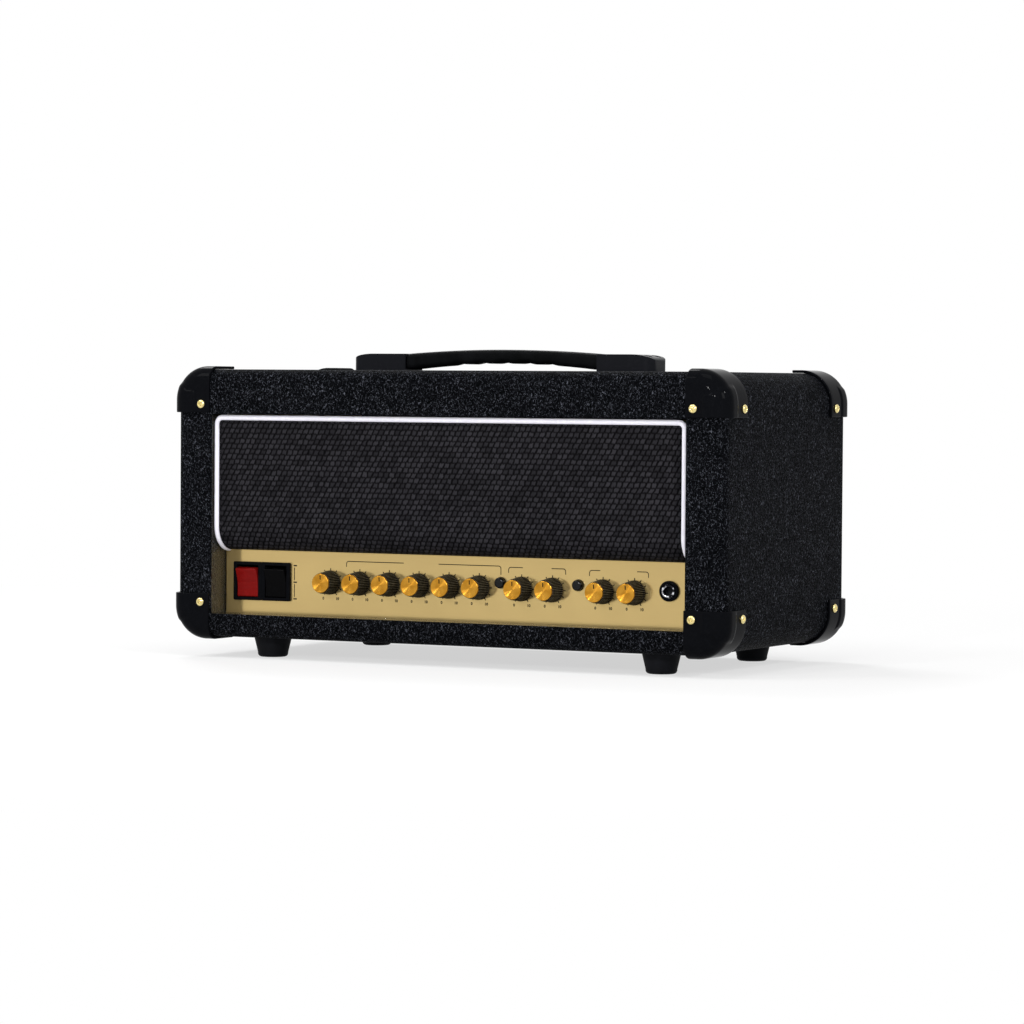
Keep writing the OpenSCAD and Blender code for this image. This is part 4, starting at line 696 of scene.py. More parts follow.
class AmpHeadSettings(bpy.types.PropertyGroup):
    """Sizes and colours that a user may want to change."""

    grain_mm: FloatProperty(
        name="Vinyl grain", description="Width of one pebble of the vinyl's grain, in millimetres",
        default=1.65, min=0.5, max=6.0)
    grain_depth_mm: FloatProperty(
        name="Grain depth", description="Depth of the vinyl's creases, in millimetres",
        default=0.5, min=0.0, max=2.0)
    weave_pitch_mm: FloatProperty(
        name="Weave pitch",
        description="Step of the grille cloth's bundles along a row, in millimetres",
        default=5.0, min=1.0, max=10.0)
    weave_row_mm: FloatProperty(
        name="Weave row", description="Height of one row of the grille cloth, in millimetres",
        default=4.24, min=1.0, max=10.0)
    lip_r: FloatProperty(
        name="Opening lip", description="Radius of the covering's edge round the openings",
        default=2.0 * MM, min=0.5 * MM, max=4.0 * MM, subtype="DISTANCE", unit="LENGTH")
    flutes: IntProperty(
        name="Knob flutes", description="Number of flutes round each knob's skirt",
        default=40, min=12, max=60)
    flute_depth: FloatProperty(
        name="Flute depth", description="Depth of the flutes round each knob's skirt",
        default=0.5 * MM, min=0.0, max=1.0 * MM, subtype="DISTANCE", unit="LENGTH")
    cap_dish: FloatProperty(
        name="Cap dish", description="How far each knob cap's face is dished",
        default=0.35 * MM, min=0.0, max=1.0 * MM, subtype="DISTANCE", unit="LENGTH")
    ticks: IntProperty(
        name="Dial ticks", description="Number of ticks round each knob", default=11, min=2, max=41)
    gold: FloatVectorProperty(
        name="Panel gold", description="Colour of the control panel",
        subtype="COLOR", size=3, default=rgb("#C8AE74")[:3], min=0.0, max=1.0)
    floor_white: FloatVectorProperty(
        name="Floor", description="Colour of the floor under the amplifier",
        subtype="COLOR", size=3, default=rgb("#F4F4F4")[:3], min=0.0, max=1.0)


FINISHES = {}


def finish(name):
    """A finish from the palette, which is made once."""
    if not FINISHES:
        FINISHES.update(palette(bpy.context.scene.amp_head))
    return FINISHES[name]


# ---------------------------------------------------------------- box

def rings(half_w, half_h, radius, centre_z, y):
    """Outlines in upright planes, one row each: (x, y, centre + z)."""
    flat = outline(half_w, half_h, radius, sides=(30, 14), steps=10)
    x, z = flat[..., 0], centre_z + flat[..., 1]
    return np.stack(np.broadcast_arrays(x, y[:, None], z), -1)


def opening_box():
    """Half width, half height and middle height of the openings, in millimetres. The control
    panel stands a little below the front opening's lower edge."""
    panel_low, panel_high = box_mm("control_panel")
    tucked = 1.0
    top = box_mm("rear_grille")[1][2] + SLIDE_GAP
    bottom = panel_low[2] + tucked
    return panel_high[0] + SLIDE_GAP, (top - bottom) / 2, (top + bottom) / 2


def covering_skins(lip):
    """The wrapped vinyl, from the liner of the front opening, over the front, the long sides and
    the back, into the rear opening. Each row is an outline; from row to row a lip and an edge
    turn by inset = r (1 - sin a), depth = r (1 - cos a)."""
    low, high = box_mm("covering")
    half_w, half_h, centre = high[0], (high[2] - low[2]) / 2, (high[2] + low[2]) / 2
    open_w, open_h, open_z = opening_box()
    liner_r = 1.2
    turn = np.radians(np.linspace(0, 90, 6))
    bend = np.radians(np.linspace(0, 90, 9))
    front_end, rear_end = panel_face() - 0.3, box_mm("rear_panel")[1][1] - 0.8
    skins, edges = [], []
    for face_y, way, liner_y in ((low[1], 1, front_end), (high[1], -1, rear_end)):
        grow = np.r_[0, lip * (1 - np.cos(turn))]
        depth = np.r_[liner_y, face_y + way * lip * (1 - np.sin(turn))]
        liner = rings(open_w + grow, open_h + grow, liner_r + grow, open_z, depth)
        inset = EDGE_R * (1 - np.sin(bend))
        depth = face_y + way * EDGE_R * (1 - np.cos(bend))
        edge = rings(half_w - inset, half_h - inset, CORNER_R - inset, centre, depth)
        t = np.linspace(0, 1, 5)[:, None, None]
        face = liner[-1] + t * (edge[0] - liner[-1])
        skins += [
            (grid_skin(rows[::way], closed=True), kind)
            for rows, kind in ((liner[:2], "liner"), (liner[1:], "vinyl"), (face, "vinyl"))]
        edges.append(edge)
    t = np.linspace(0, 1, 9)[1:-1, None, None]
    side = edges[0][-1] + t * (edges[1][-1] - edges[0][-1])
    over = np.concatenate([edges[0], side, edges[1][::-1]])
    skins.append((grid_skin(over, closed=True), "vinyl"))
    return skins


class AMP_OT_covering(bpy.types.Operator):
    """Wraps the box in embossed vinyl, into both openings"""

    bl_idname = "amp_head.covering"
    bl_label = "Vinyl covering"

    def execute(self, context):
        skins = covering_skins(context.scene.amp_head.lip_r / MM)
        parts = [(skin, finish(name)) for skin, name in skins]
        piece = make_piece(
            "vinyl_covering", parts, ["covering"], seen_from=centre_of("covering"),
            angle=60)
        wall(piece, 0.85)
        dress(finish("zinc"), "foot_screws", "fret_screws", "machine_bolts")
        return {"FINISHED"}


# Pad of each protector: its height, its reach from the upright edge's turn on either side, half
# the width of its slope there, and where it slopes off round the upper turn, in degrees
PAD_H = 0.9
PAD_REACH = 7.5
PAD_SLOPE = 0.9
PAD_TOP = (24, 34)


def corner_shell(half, wall_t, legs):
    """One corner protector in its own octant, as the sheet over the box's corner grown by wall_t.
    With s the place along the outline and b the turn over the edge, a point is
    base(s) + (R - E + rho sin b) way(s) across and d - E + rho cos b deep. R and E are the radii
    of the box's corner and edge, d is its half depth, and rho = E + wall_t + pad. The square
    front is a grid between its four sides: the sum of the two side-to-side mixes less the mix of
    its corners. The pad stands on the upright edge, and slopes away by smooth steps."""
    inner = CORNER_R - EDGE_R
    run, bend = 8, 32
    x_end, y_end, z_end = half + wall_t - legs
    turn_x, turn_z = half[0] - CORNER_R, half[2] - CORNER_R
    t = np.linspace(0, 1, run + 1)
    a = np.radians(np.linspace(90, 0, bend + 1))[1:-1]
    base_x = np.r_[x_end + t * (turn_x - x_end), np.full(len(a) + run + 1, turn_x)]
    base_z = np.r_[np.full(run + 1 + len(a), turn_z), turn_z + t * (z_end - turn_z)]
    way_x = np.r_[np.zeros(run + 1), np.cos(a), np.ones(run + 1)]
    way_z = np.r_[np.ones(run + 1), np.sin(a), np.zeros(run + 1)]

    # over the edge, and then straight back, with rows close together where the pad ends
    turn = np.radians(np.linspace(0, 90, 16))
    flat = np.array([0.06, 0.12, 0.18, 0.22, 0.26, 0.3, 0.34, 0.38, 0.44, 0.6, 0.8, 1.0])
    b = np.r_[turn, np.full(len(flat), QUARTER)][:, None]
    back = np.r_[np.zeros(len(turn)), flat * (half[1] - EDGE_R - y_end)][:, None]
    rise = np.degrees(np.arcsin(np.clip(way_z, 0, 1)))
    beyond = step(back, PAD_REACH - PAD_SLOPE, PAD_REACH + PAD_SLOPE)
    rho = EDGE_R + wall_t + PAD_H * (1 - step(rise, *PAD_TOP)) * (1 - beyond)
    reach = inner + rho * np.sin(b)
    depth = half[1] - EDGE_R + rho * np.cos(b) - back
    skirt = np.stack([base_x + reach * way_x, depth, base_z + reach * way_z], -1)

    # the front, between the skirt's first row and the legs' ends
    m = run + bend // 2
    rim = skirt[0] * (1, 0, 1) + (0, half[1] + wall_t, 0)
    top, right = rim[:m + 1], rim[m:][::-1]
    near = np.array([x_end, rim[0, 1], z_end])
    share = np.linspace(0, 1, m + 1)
    left = near + share[:, None] * (rim[0] - near)
    bottom = near + share[:, None] * (rim[-1] - near)
    u, v = share[None, :, None], share[:, None, None]
    front = (
        (1 - v) * bottom[None] + v * top[None] + (1 - u) * left[:, None] + u * right[:, None]
        - (1 - u) * (1 - v) * near - u * (1 - v) * rim[-1] - (1 - u) * v * rim[0] - u * v * rim[m]
    )
    pad_x = turn_x + inner - PAD_REACH
    pad_z = turn_z + inner * math.sin(math.radians(sum(PAD_TOP) / 2))
    beside = step(front[..., 0], pad_x - PAD_SLOPE, pad_x + PAD_SLOPE)
    below = 1 - step(front[..., 2], pad_z - 1.3, pad_z + 1.3)
    front[..., 1] += PAD_H * beside * below
    front[:, -1, 1], front[-1, :, 1] = skirt[0, m:, 1][::-1], skirt[0, :m + 1, 1]
    return [grid_skin(skirt), grid_skin(front)]


class AMP_OT_protectors(bpy.types.Operator):
    """Puts a moulded protector over each corner of the box"""

    bl_idname = "amp_head.protectors"
    bl_label = "Corner protectors"

    def execute(self, context):
        low, high = box_mm("covering")
        middle, half = (low + high) / 2, (high - low) / 2
        shells = solids_of("corner_protectors")
        outer = box_mm("corner_protectors")[1] - high
        legs = shells[0][1] - shells[0][0]
        parts = []
        for shell_low, shell_high in shells:
            sign = np.sign((shell_low + shell_high) / 2 - middle)
            for skin in corner_shell(half, outer[0], legs):
                faces = skin.faces if sign.prod() > 0 else [face[::-1] for face in skin.faces]
                parts.append((Skin(skin.points * sign + middle, faces, skin.uv), finish("gloss")))
        piece = make_piece(
            "corner_protector_mouldings", parts, ["corner_protectors"],
            seen_from=middle, angle=50)
        wall(piece, 2.3)
        round_edges(piece, 0.7)
        return {"FINISHED"}


def screw_skin(head_d, head_h, length):
    """A pan head with a cross recess, standing on z = 0, and its shank of half the head's width
    below. Over the head z = h (1 - (r/R)^3)^0.5, less the recess, which is the larger of two arms
    that taper from their middle."""
    radius, shank_r = head_d / 2, head_d * 0.5 / 2
    t = np.linspace(0, 1, 19)[1:]
    r = np.r_[0.2, shank_r, shank_r, radius * 0.94, radius, radius * np.cos(t * QUARTER)]
    r[-1] = AXIS_R
    z = np.r_[-length, 1.5 - length, 0.0, 0.0, 0.25 * head_h, np.zeros(len(t))]
    k = len(z) - len(t)
    z[k:] = head_h * (0.25 + 0.75 * np.sqrt(1 - (r[k:] / radius) ** 3))
    a = round_circle(64)
    x, y = r[:, None] * np.cos(a), r[:, None] * np.sin(a)
    arm_l, arm_w = radius * 0.6, radius * 0.15

    def arm(p, q):
        along = 1 - step(np.abs(p), arm_l * 0.75, arm_l)
        return along * (1 - step(np.abs(q), arm_w * 0.6, arm_w * 1.2))

    on_head = np.where(np.arange(len(z)) >= k, 1.0, 0.0)[:, None]
    recess = np.maximum(arm(x, y), arm(y, x)) * on_head
    return closed_skin(np.stack([x, y, z[:, None] - 0.32 * head_h * recess], -1))


def cross_screws(name, node, head_h, material):
    """Detailed screws where a node's screws are. A screw points along the longest side of its
    box, with its head away from the middle of the amplifier, and each is turned further than
    the last, so that no two recesses look alike."""
    middle = centre_of("covering")
    parts = []
    for number, (low, high) in enumerate(solids_of(node)):
        axis = int(np.argmax(high - low))
        head_d = np.delete(high - low, axis).mean()
        place = (low + high) / 2
        sign = 1.0 if place[axis] > middle[axis] else -1.0
        length = high[axis] - low[axis] - head_h
        place[axis] = (high[axis] - head_h) if sign > 0 else (low[axis] + head_h)
        out = np.zeros(3)
        out[axis] = sign
        turn = 2.4 * number
        way = math.cos(turn) * np.roll(out, 1) + math.sin(turn) * np.roll(out, 2)
        skin = screw_skin(head_d, head_h, length)
        parts.append((placed(skin, place, out, way), material))
    return make_piece(name, parts, [node])


class AMP_OT_box_screws(bpy.types.Operator):
    """Drives the protector, handle and back screws"""

    bl_idname = "amp_head.box_screws"
    bl_label = "Cross-head screws"

    def execute(self, context):
        cross_screws("protector_cross_screws", "protector_screws", 2.4, finish("brass"))
        cross_screws("handle_cross_screws", "handle_screws", 2.6, finish("zinc"))
        cross_screws("back_cross_screws", "rear_screws", 2.0, finish("powder"))
        return {"FINISHED"}


class AMP_OT_feet(bpy.types.Operator):
    """Screws four rubber feet under the box"""

    bl_idname = "amp_head.feet"
    bl_label = "Rubber feet"

    def execute(self, context):
        parts = []
        for low, high in solids_of("rubber_feet"):
            top_r, height = (high[0] - low[0]) / 2, high[2]
            base_r, edge, well_r, well = top_r - 3.0, 3.0, 5.5, 8.6
            flat_r = base_r - edge
            profile = np.concatenate([
                [[AXIS_R, height], [top_r - 0.6, height], [top_r, height - 0.8]],
                arc((flat_r, edge), edge, 10, -90, 8),
                [[flat_r - 2, 0.0], [well_r + 0.6, 0.0], [well_r, 0.6], [well_r, well]],
                [[AXIS_R, well]],
            ])
            place = [*((low + high) / 2)[:2], 0]
            parts.append((placed(turned(profile, 56), place, UP), finish("rubber")))
        make_piece("rubber_foot_mouldings", parts, ["rubber_feet"], angle=40)
        return {"FINISHED"}


# Length of each of the handle's end caps
CAP_L = 50.0


def strap_skin():
    """The arched strap: a rounded section carried along X between its top,
    cap + rise (1 - (x/l)^2), and its underside, a flatter arch less five scallops for the
    fingers, with a tongue at each end that lies in an end cap."""
    low, high = box_mm("handle_strap")
    caps_low, caps_high = box_mm("handle_caps")
    cap_h = caps_high[2] - caps_low[2]
    half = caps_high[0] - CAP_L - 0.5
    rise, thick, drop, pitch, groove = high[2] - caps_high[2], 11.4, 5.0, 21.0, 1.2
    tongue_low, tongue_high, tongue_w = 2.0, 6.8, 9.9
    x = np.linspace(-half, half, 161)
    share = (x / half) ** 2
    top = cap_h + rise * (1 - share)
    scallop = np.where(np.abs(x) < 2.5 * pitch, groove * np.cos(math.pi * x / pitch) ** 2, 0.0)
    under = np.maximum(0.6, cap_h + rise - thick - drop * share + scallop)
    half_w = np.full(len(x), (high[1] - low[1]) / 2)
    ends = np.array([half + 0.05, high[0]])
    x = np.r_[-ends[::-1], x, ends]
    top, under, half_w = (
        np.r_[tongue, tongue, strap, tongue, tongue]
        for tongue, strap in ((tongue_high, top), (tongue_low, under), (tongue_w, half_w)))
    half_h = (top - under) / 2
    radius = np.minimum(half_h * 0.8, 3.6)
    section = outline(half_w, half_h, radius, sides=(6, 2), steps=5)
    y = section[..., 0] + (low[1] + high[1]) / 2
    z = section[..., 1] + ((top + under) / 2)[:, None] + caps_low[2]
    return closed_skin(np.stack(np.broadcast_arrays(x[:, None], y, z), -1))


class AMP_OT_handle(bpy.types.Operator):
    """Makes the moulded strap and the end caps that hold it"""

    bl_idname = "amp_head.handle"
    bl_label = "Carrying handle"

    def execute(self, context):
        make_piece(
            "moulded_handle_strap", [(strap_skin(), finish("strap"))], ["handle_strap"],
            body="handle_body", angle=50)
        low, high = box_mm("handle_caps")
        screws = middles_of("handle_screws")
        hole_r = 4.6

        def outer_edge(middle):
            """Edges of the upper part, apart from the strap's mouth and the screws' holes."""
            near = min(math.hypot(middle[0] - s[0], middle[1] - s[1]) for s in screws)
            mouth = high[0] - abs(middle[0]) > CAP_L - 1.0
            return middle[2] > low[2] + 6.0 and near > hole_r and not mouth

        eased("handle_caps", 2.4, finish("cap"), segments=4, pick=outer_edge)
        return {"FINISHED"}


# ---------------------------------------------------------------- fret

# Turn of the fret's lower edge, which the cloth and the piping follow
ROLL_R = 20.0


def cloth_skin():
    """The cloth from its upper edge down the fret's face, and back under it by
    y = face + R (1 - cos a), z = bottom + R (1 - sin a). Its upper corners are rounded by drawing
    each row in: half - c + (c^2 - drop^2)^0.5. U and V are the places on the flat sheet in
    millimetres, moved to where both are positive. Gives the skin and the sheet's length down."""
    low, high = box_mm("grille_cloth")
    face_y, bottom, top = low[1], low[2], high[2]
    corner = 2.75
    bend = np.radians(np.linspace(0, 90, 13))
    z = np.r_[
        top - corner * (1 - np.cos(bend)),
        np.linspace(top - corner, bottom + ROLL_R, 25)[1:],
        bottom + ROLL_R * (1 - np.sin(bend[1:])),
    ]
    under = ROLL_R * (1 - np.cos(bend[1:]))
    y = face_y + np.r_[np.zeros(len(z) - len(under)), under]
    drop = np.clip(corner - (top - z), 0, corner)
    half_w = high[0] - corner + np.sqrt(corner ** 2 - drop ** 2)
    x = half_w[:, None] * np.linspace(-1, 1, 41)
    down = np.r_[0, np.cumsum(np.hypot(np.diff(y), np.diff(z)))]
    u, v = x + 300, (down[-1] - down)[:, None] + 20
    uv = np.stack(np.broadcast_arrays(u, v), -1)
    points = np.stack(np.broadcast_arrays(x, y[:, None], z[:, None]), -1)
    return grid_skin(points, uv=uv), down[-1]


def piping_path(radius):
    """The piping's middle: out of the turn under the fret, up one side, round a corner, across,
    and the same again in a mirror."""
    low, high = box_mm("piping")
    x, y, z_top = high[0] - radius, low[1] + radius, high[2] - radius
    z_roll = box_mm("grille_cloth")[0][2] + ROLL_R
    end_y = panel_face() - 0.05
    corner = 5.0
    turn = np.insert(arc((end_y, z_roll), end_y - y, 270, 180, 16), 0, x, axis=1)
    z = np.linspace(z_roll, z_top - corner, 11)[1:-1]
    side = np.stack(np.broadcast_arrays(x, y, z), -1)
    bend = np.insert(arc((x - corner, z_top - corner), corner, 0, 90, 8), 1, y, axis=1)
    across = np.linspace(x - corner, corner - x, 21)[1:-1]
    top = np.stack(np.broadcast_arrays(across, y, z_top), -1)
    half = np.concatenate([turn, side, bend])
    return np.concatenate([half, top, half[::-1] * (-1, 1, 1)])


class AMP_OT_fret(bpy.types.Operator):
    """Stretches the grille cloth over the fret and runs the piping round it"""

    bl_idname = "amp_head.fret"
    bl_label = "Grille cloth and piping"

    def execute(self, context):
        low, high = box_mm("grille_cloth")
        skin, length = cloth_skin()
        cloth = make_piece(
            "stretched_grille_cloth", [(skin, finish("cloth"))], ["grille_cloth"],
            seen_from=(0, 0, (low[2] + high[2]) / 2), angle=60)
        wall(cloth, 0.5)
        radius = 2.25
        cord = tube(piping_path(radius), radius, 20)
        make_piece("white_piping_cord", [(cord, finish("piping"))], ["piping"])
        return {"FINISHED"}


# ---------------------------------------------------------------- control panel

# Thickness of the printed ink, in millimetres
INK_T = 0.04


def ink_skin(shapes, face_y, way):
    """Flat ink shapes in the XZ plane, an ink's thickness proud of a panel's face, the way that
    the face looks along Y. Each edge that only one of the faces has gets a rim."""
    faces, n = [], 0
    for flat, shape_faces in shapes:
        faces += [[n + v for v in face] for face in shape_faces]
        n += len(flat)
    flat = np.concatenate([flat for flat, _ in shapes])
    layers = [np.insert(flat, 1, y, axis=1) for y in (face_y, face_y + way * INK_T)]
    edges = {}
    for face in faces:
        edges.update(dict.fromkeys(zip(face, [*face[1:], face[0]])))
    both = [
        *faces, *([v + n for v in face][::-1] for face in faces),
        *([b, a, a + n, b + n] for a, b in edges if (b, a) not in edges)]
    return Skin(np.concatenate(layers), both, np.zeros((sum(map(len, both)), 2)))


def ribbon(path, width):
    """A line of even width along a flat path: path +- width / 2 times the way across it."""
    path = np.asarray(path, float)
    way = np.gradient(path, axis=0)
    way /= np.linalg.norm(way, axis=1)[:, None]
    across = np.stack([-way[:, 1], way[:, 0]], -1) * width / 2
    flat = np.concatenate([path + across, path - across])
    n = len(path)
    return flat, [[k, k + n, k + n + 1, k + 1] for k in range(n - 1)]


def numeral(text, height):
    """A numeral of the built-in font as flat points and faces, centred, height millimetres tall."""
    curve = bpy.data.curves.new("numeral", "FONT")
    curve.body = text
    curve.offset = 0.045
    holder = put("numeral", curve)
    bpy.context.view_layer.update()
    graph = bpy.context.evaluated_depsgraph_get()
    mesh = bpy.data.meshes.new_from_object(holder.evaluated_get(graph))
    flat = np.empty(len(mesh.vertices) * 3)
    mesh.vertices.foreach_get("co", flat)
    flat = flat.reshape(-1, 3)[:, :2]
    faces = [list(p.vertices) for p in mesh.polygons]
    bpy.data.objects.remove(holder)
    bpy.data.curves.remove(curve)
    bpy.data.meshes.remove(mesh)
    low, high = flat.min(0), flat.max(0)
    return (flat - (low + high) / 2) * height / (high[1] - low[1]), faces


def dial_ink(x, z, count, zero, ten):
    """Ticks round one knob over 300 degrees, with the numerals of its two ends."""
    inner_r, outer_r, half_t = 9.2, 11.6, 0.42
    a = np.radians(np.linspace(-150, 150, count))
    shapes = []
    for way in np.stack([np.sin(a), np.cos(a)], -1):
        side = np.array([-way[1], way[0]]) * half_t
        start, stop = way * inner_r, way * outer_r
        tick = np.array([start + side, start - side, stop - side, stop + side])
        shapes.append((tick + (x, z), [[0, 1, 2, 3]]))
    for sign, (flat, faces) in ((-1, zero), (1, ten)):
        shapes.append((flat + (x + sign * 6.7, z - 13.0), faces))
    return shapes


def line_ends(x0, x1, z, drop0, drop1):
    """The left and right end of a line over a group, each with its drop and rounded corner."""
    r = 2.0
    left = [[x0, z - drop0], *arc((x0 + r, z - r), r, 180, 90, 5)]
    right = [*arc((x1 - r, z - r), r, 90, 0, 5), [x1, z - drop1]]
    return left, right


def bracket(x0, x1, z, gap0, gap1, drop0, drop1):
    """A line over a group of knobs, in two halves with a gap where a title would be."""
    left, right = line_ends(x0, x1, z, drop0, drop1)
    return [ribbon([*left, [gap0, z]], 0.65), ribbon([[gap1, z], *right], 0.65)]


def knob_centres():
    """Where the knobs' shafts pass through the panel, from the left."""
    return [joint_place(f"knob_{number}_turn") for number in range(1, 11)]


class AMP_OT_panel(bpy.types.Operator):
    """Finishes the gold control panel and prints its dials"""

    bl_idname = "amp_head.panel"
    bl_label = "Control panel"

    def execute(self, context):
        dress(finish("gold_panel"), "control_panel")
        zero, ten = numeral("0", 2.4), numeral("10", 2.4)
        shapes = []
        for x, _, z in knob_centres():
            shapes += dial_ink(x, z, context.scene.amp_head.ticks, zero, ten)

        # lines over three groups of knobs, broken for a title; the first drops to the tone button
        xs = [centre[0] for centre in knob_centres()]
        line_z = knob_centres()[0][2] + 17.6
        button = centre_of("tone_button")
        drop = 4.5
        shapes += bracket(
            xs[1] - 12.5, button[0], line_z, xs[3] - 14.3, xs[4] - 9.6,
            drop, line_z - button[2] - 6.2)
        shapes += bracket(
            xs[6] - 11.7, xs[7] + 11.6, line_z - 0.7, xs[6] + 1.0, xs[7] - 0.9, drop, drop)
        shapes += bracket(
            xs[8] - 11.9, xs[9] + 12.0, line_z - 1.1, xs[8] - 2.5, xs[9] + 2.1, drop, drop)

        # scale of the output switch: a bar at each of three places, joined by two lines
        scale_x = box_mm("output_switch_housing")[1][0] + 3.4
        middle = centre_of("output_switch_housing")[2]
        bars = [([-0.9, z], [2.4, z], 1.1) for z in (13.6, 0.0, -13.6)]
        lines = [([0.0, z], [0.0, z + 10.4], 0.7) for z in (1.6, -12.0)]
        shapes += [
            ribbon(np.array([start, stop]) + (scale_x, middle), width)
            for start, stop, width in bars + lines]
        ink = ink_skin(shapes, panel_face(), -1.0)
        make_piece("panel_dial_printing", [(ink, finish("ink"))], [])
        return {"FINISHED"}


def rocker_skins(pivot):
    """A rocker, and the pin that it turns on, tilted as at rest. With s from -1 to 1, its front is
    out(s) = middle + (lip - middle) |s| - hollow sin^2(pi |s|): straight from the middle to each
    lip, and hollowed a little between."""
    half_w, tilt, reach, middle, hollow = 9.8, math.radians(9), 11.3, 7.49, 0.32
    lip = middle + reach * math.tan(tilt)
    s = np.linspace(-1, 1, 25)
    out = middle + (lip - middle) * np.abs(s) - hollow * np.sin(math.pi * np.abs(s)) ** 2
    back = [
        [1 - lip, reach + 0.5], [-4, 12], [2.5, 9], [4.5, 4],
        [4.5, -4], [2.5, -9], [-4, -12], [1 - lip, -reach - 0.5],
    ]
    section = np.concatenate([np.stack([-out, reach * s], -1), back])
    c, n = math.cos(tilt), math.sin(tilt)
    section = section @ np.array([[c, n], [-n, c]])
    pin_r, pin_l = 1.45, 11.4
    pin = turned([[AXIS_R, -pin_l], [pin_r, -pin_l], [pin_r, pin_l], [AXIS_R, pin_l]], 20)
    return [
        placed(skin, pivot, RIGHT, (0, 1, 0))
        for skin in (prism(section, -half_w, half_w), pin)]


class AMP_OT_switches(bpy.types.Operator):
    """Makes both rocker switches: bezels with rounded edges, and rockers with a hollowed V face"""

    bl_idname = "amp_head.switches"
    bl_label = "Rocker switches"

    def execute(self, context):
        for name, material, slot in (
            ("power", "red", "red_plastic"), ("output", "rocker", "black_plastic"),
        ):
            eased(f"{name}_switch_housing", 0.5, finish("gloss"))
            skins = rocker_skins(joint_place(f"{name}_switch"))
            piece = make_piece(
                f"{name}_rocker_moulding", [(skin, finish(material)) for skin in skins],
                [f"{name}_rocker"], body=f"{name}_rocker_body", angle=12)
            round_edges(piece, 0.55, 3)
        return {"FINISHED"}


def button_skin(low, high):
    """A push button: a domed head, r - d + d cos a and head - d + d sin a, on a stem."""
    r, dome, stem_r, neck = (high[0] - low[0]) / 2, 1.6, 2.0, -4.2
    head = panel_face() - low[1]
    back = low[1] - high[1] + head
    t = np.linspace(0, 1, 7)[1:] * QUARTER
    profile = np.concatenate([
        [[AXIS_R, back], [stem_r, back], [stem_r, neck], [r, neck], [r, head - dome]],
        np.stack([r - dome + dome * np.cos(t), head - dome + dome * np.sin(t)], -1),
        [[r - dome - 1.2, head - 0.1], [AXIS_R, head - 0.25]],
    ])
    centre = (low + high) / 2
    centre[1] = low[1] + head
    return placed(turned(profile, 40), centre, FRONT)


class AMP_OT_buttons(bpy.types.Operator):
    """Makes the two push buttons"""

    bl_idname = "amp_head.buttons"
    bl_label = "Push buttons"

    def execute(self, context):
        for name in ("tone", "channel"):
            skin = button_skin(*box_mm(f"{name}_button"))
            make_piece(
                f"{name}_push_button", [(skin, finish("button"))], [f"{name}_button"],
                body=f"{name}_button_body")
        return {"FINISHED"}


def skirt_skin(base_r, cap_r, gap, shoulder, look):
    """A knob's skirt, from a gap over the panel up to the shoulder that carries the cap. Round
    it run flutes: r = taper - depth * (0.5 - 0.5 cos(n a))^0.7."""
    a = round_circle(look.flutes * STEPS_A_FLUTE)
    z = np.r_[
        gap + np.array([0.0, 0.3, 1.7, 2.1, 2.6]), np.linspace(gap + 3.2, shoulder - 1.0, 5),
        shoulder - np.array([0.5, 0.12, 0.0])]
    r = np.r_[
        base_r - np.array([0.3, 0.0, 0.0, 0.25, 0.3]), np.linspace(base_r - 0.35, 8.5, 5),
        8.35, 8.05, cap_r - 0.4]
    deep = np.r_[0, 0, 0, 0.2, 1, np.ones(5), 0.8, 0.2, 0]
    cut = (0.5 - 0.5 * np.cos(look.flutes * a)) ** 0.7 * look.flute_depth / MM
    skirt = about_z(r[:, None] - deep[:, None] * cut, z[:, None], a)
    return closed_skin(np.concatenate([skirt[:1] * (0.35, 0.35, 1.0), skirt]))


def knob_parts(node, look):
    """A knob that points along +Z from the panel's face: its skirt, a spun cap with a dished
    face, z = rim - dish * (1 - (r / R)^2), the mark on the cap, and the shaft."""
    low, high = box_mm(node)
    front, base_r = panel_face() - low[1], (high[0] - low[0]) / 2
    back = front - (high[1] - low[1])
    gap, cap_t, cap_r = 0.8, 1.7, 7.8
    shoulder, rim_z, dish_r = front - cap_t, front - 0.14, cap_r - 1.0

    def face_z(distance):
        return rim_z - look.cap_dish / MM * (1 - (distance / dish_r) ** 2)

    face_r = np.linspace(cap_r - 1.3, 0.1, 12)
    rows = np.concatenate([
        [[cap_r - 0.3, shoulder + 0.02], [cap_r, shoulder + 0.1], [cap_r, front - 0.62]],
        arc((cap_r - 0.5, front - 0.6), 0.5, 20, 80, 3),
        [[cap_r - 0.75, front - 0.1], [dish_r, rim_z]],
        np.stack([face_r, face_z(face_r)], -1),
    ])
    turn = np.linspace(0, 1, 73)
    uv = np.stack(np.meshgrid(turn, np.linspace(0, 1, len(rows))), -1)
    cap = closed_skin(about_z(rows[:, :1], rows[:, 1:], round_circle(72)), uv)

    mark_half_w, mark_t = 0.45, 0.2
    x, y = np.meshgrid([-mark_half_w, mark_half_w], np.linspace(3.0, 6.4, 6))
    lid = np.stack([x, y, face_z(np.hypot(x, y)) + 0.03], -1)
    mark = closed_skin(np.concatenate([lid, lid[:, ::-1] - (0, 0, mark_t)], 1))
    shaft_r, shaft_end = 2.95, gap + 2.0
    shaft = turned([[AXIS_R, back], [shaft_r, back], [shaft_r, shaft_end], [AXIS_R, shaft_end]], 24)
    return [
        (skirt_skin(base_r, cap_r, gap, shoulder, look), finish("knob")),
        (cap, finish("gold_cap")), (mark, finish("ink")), (shaft, finish("aluminium"))]


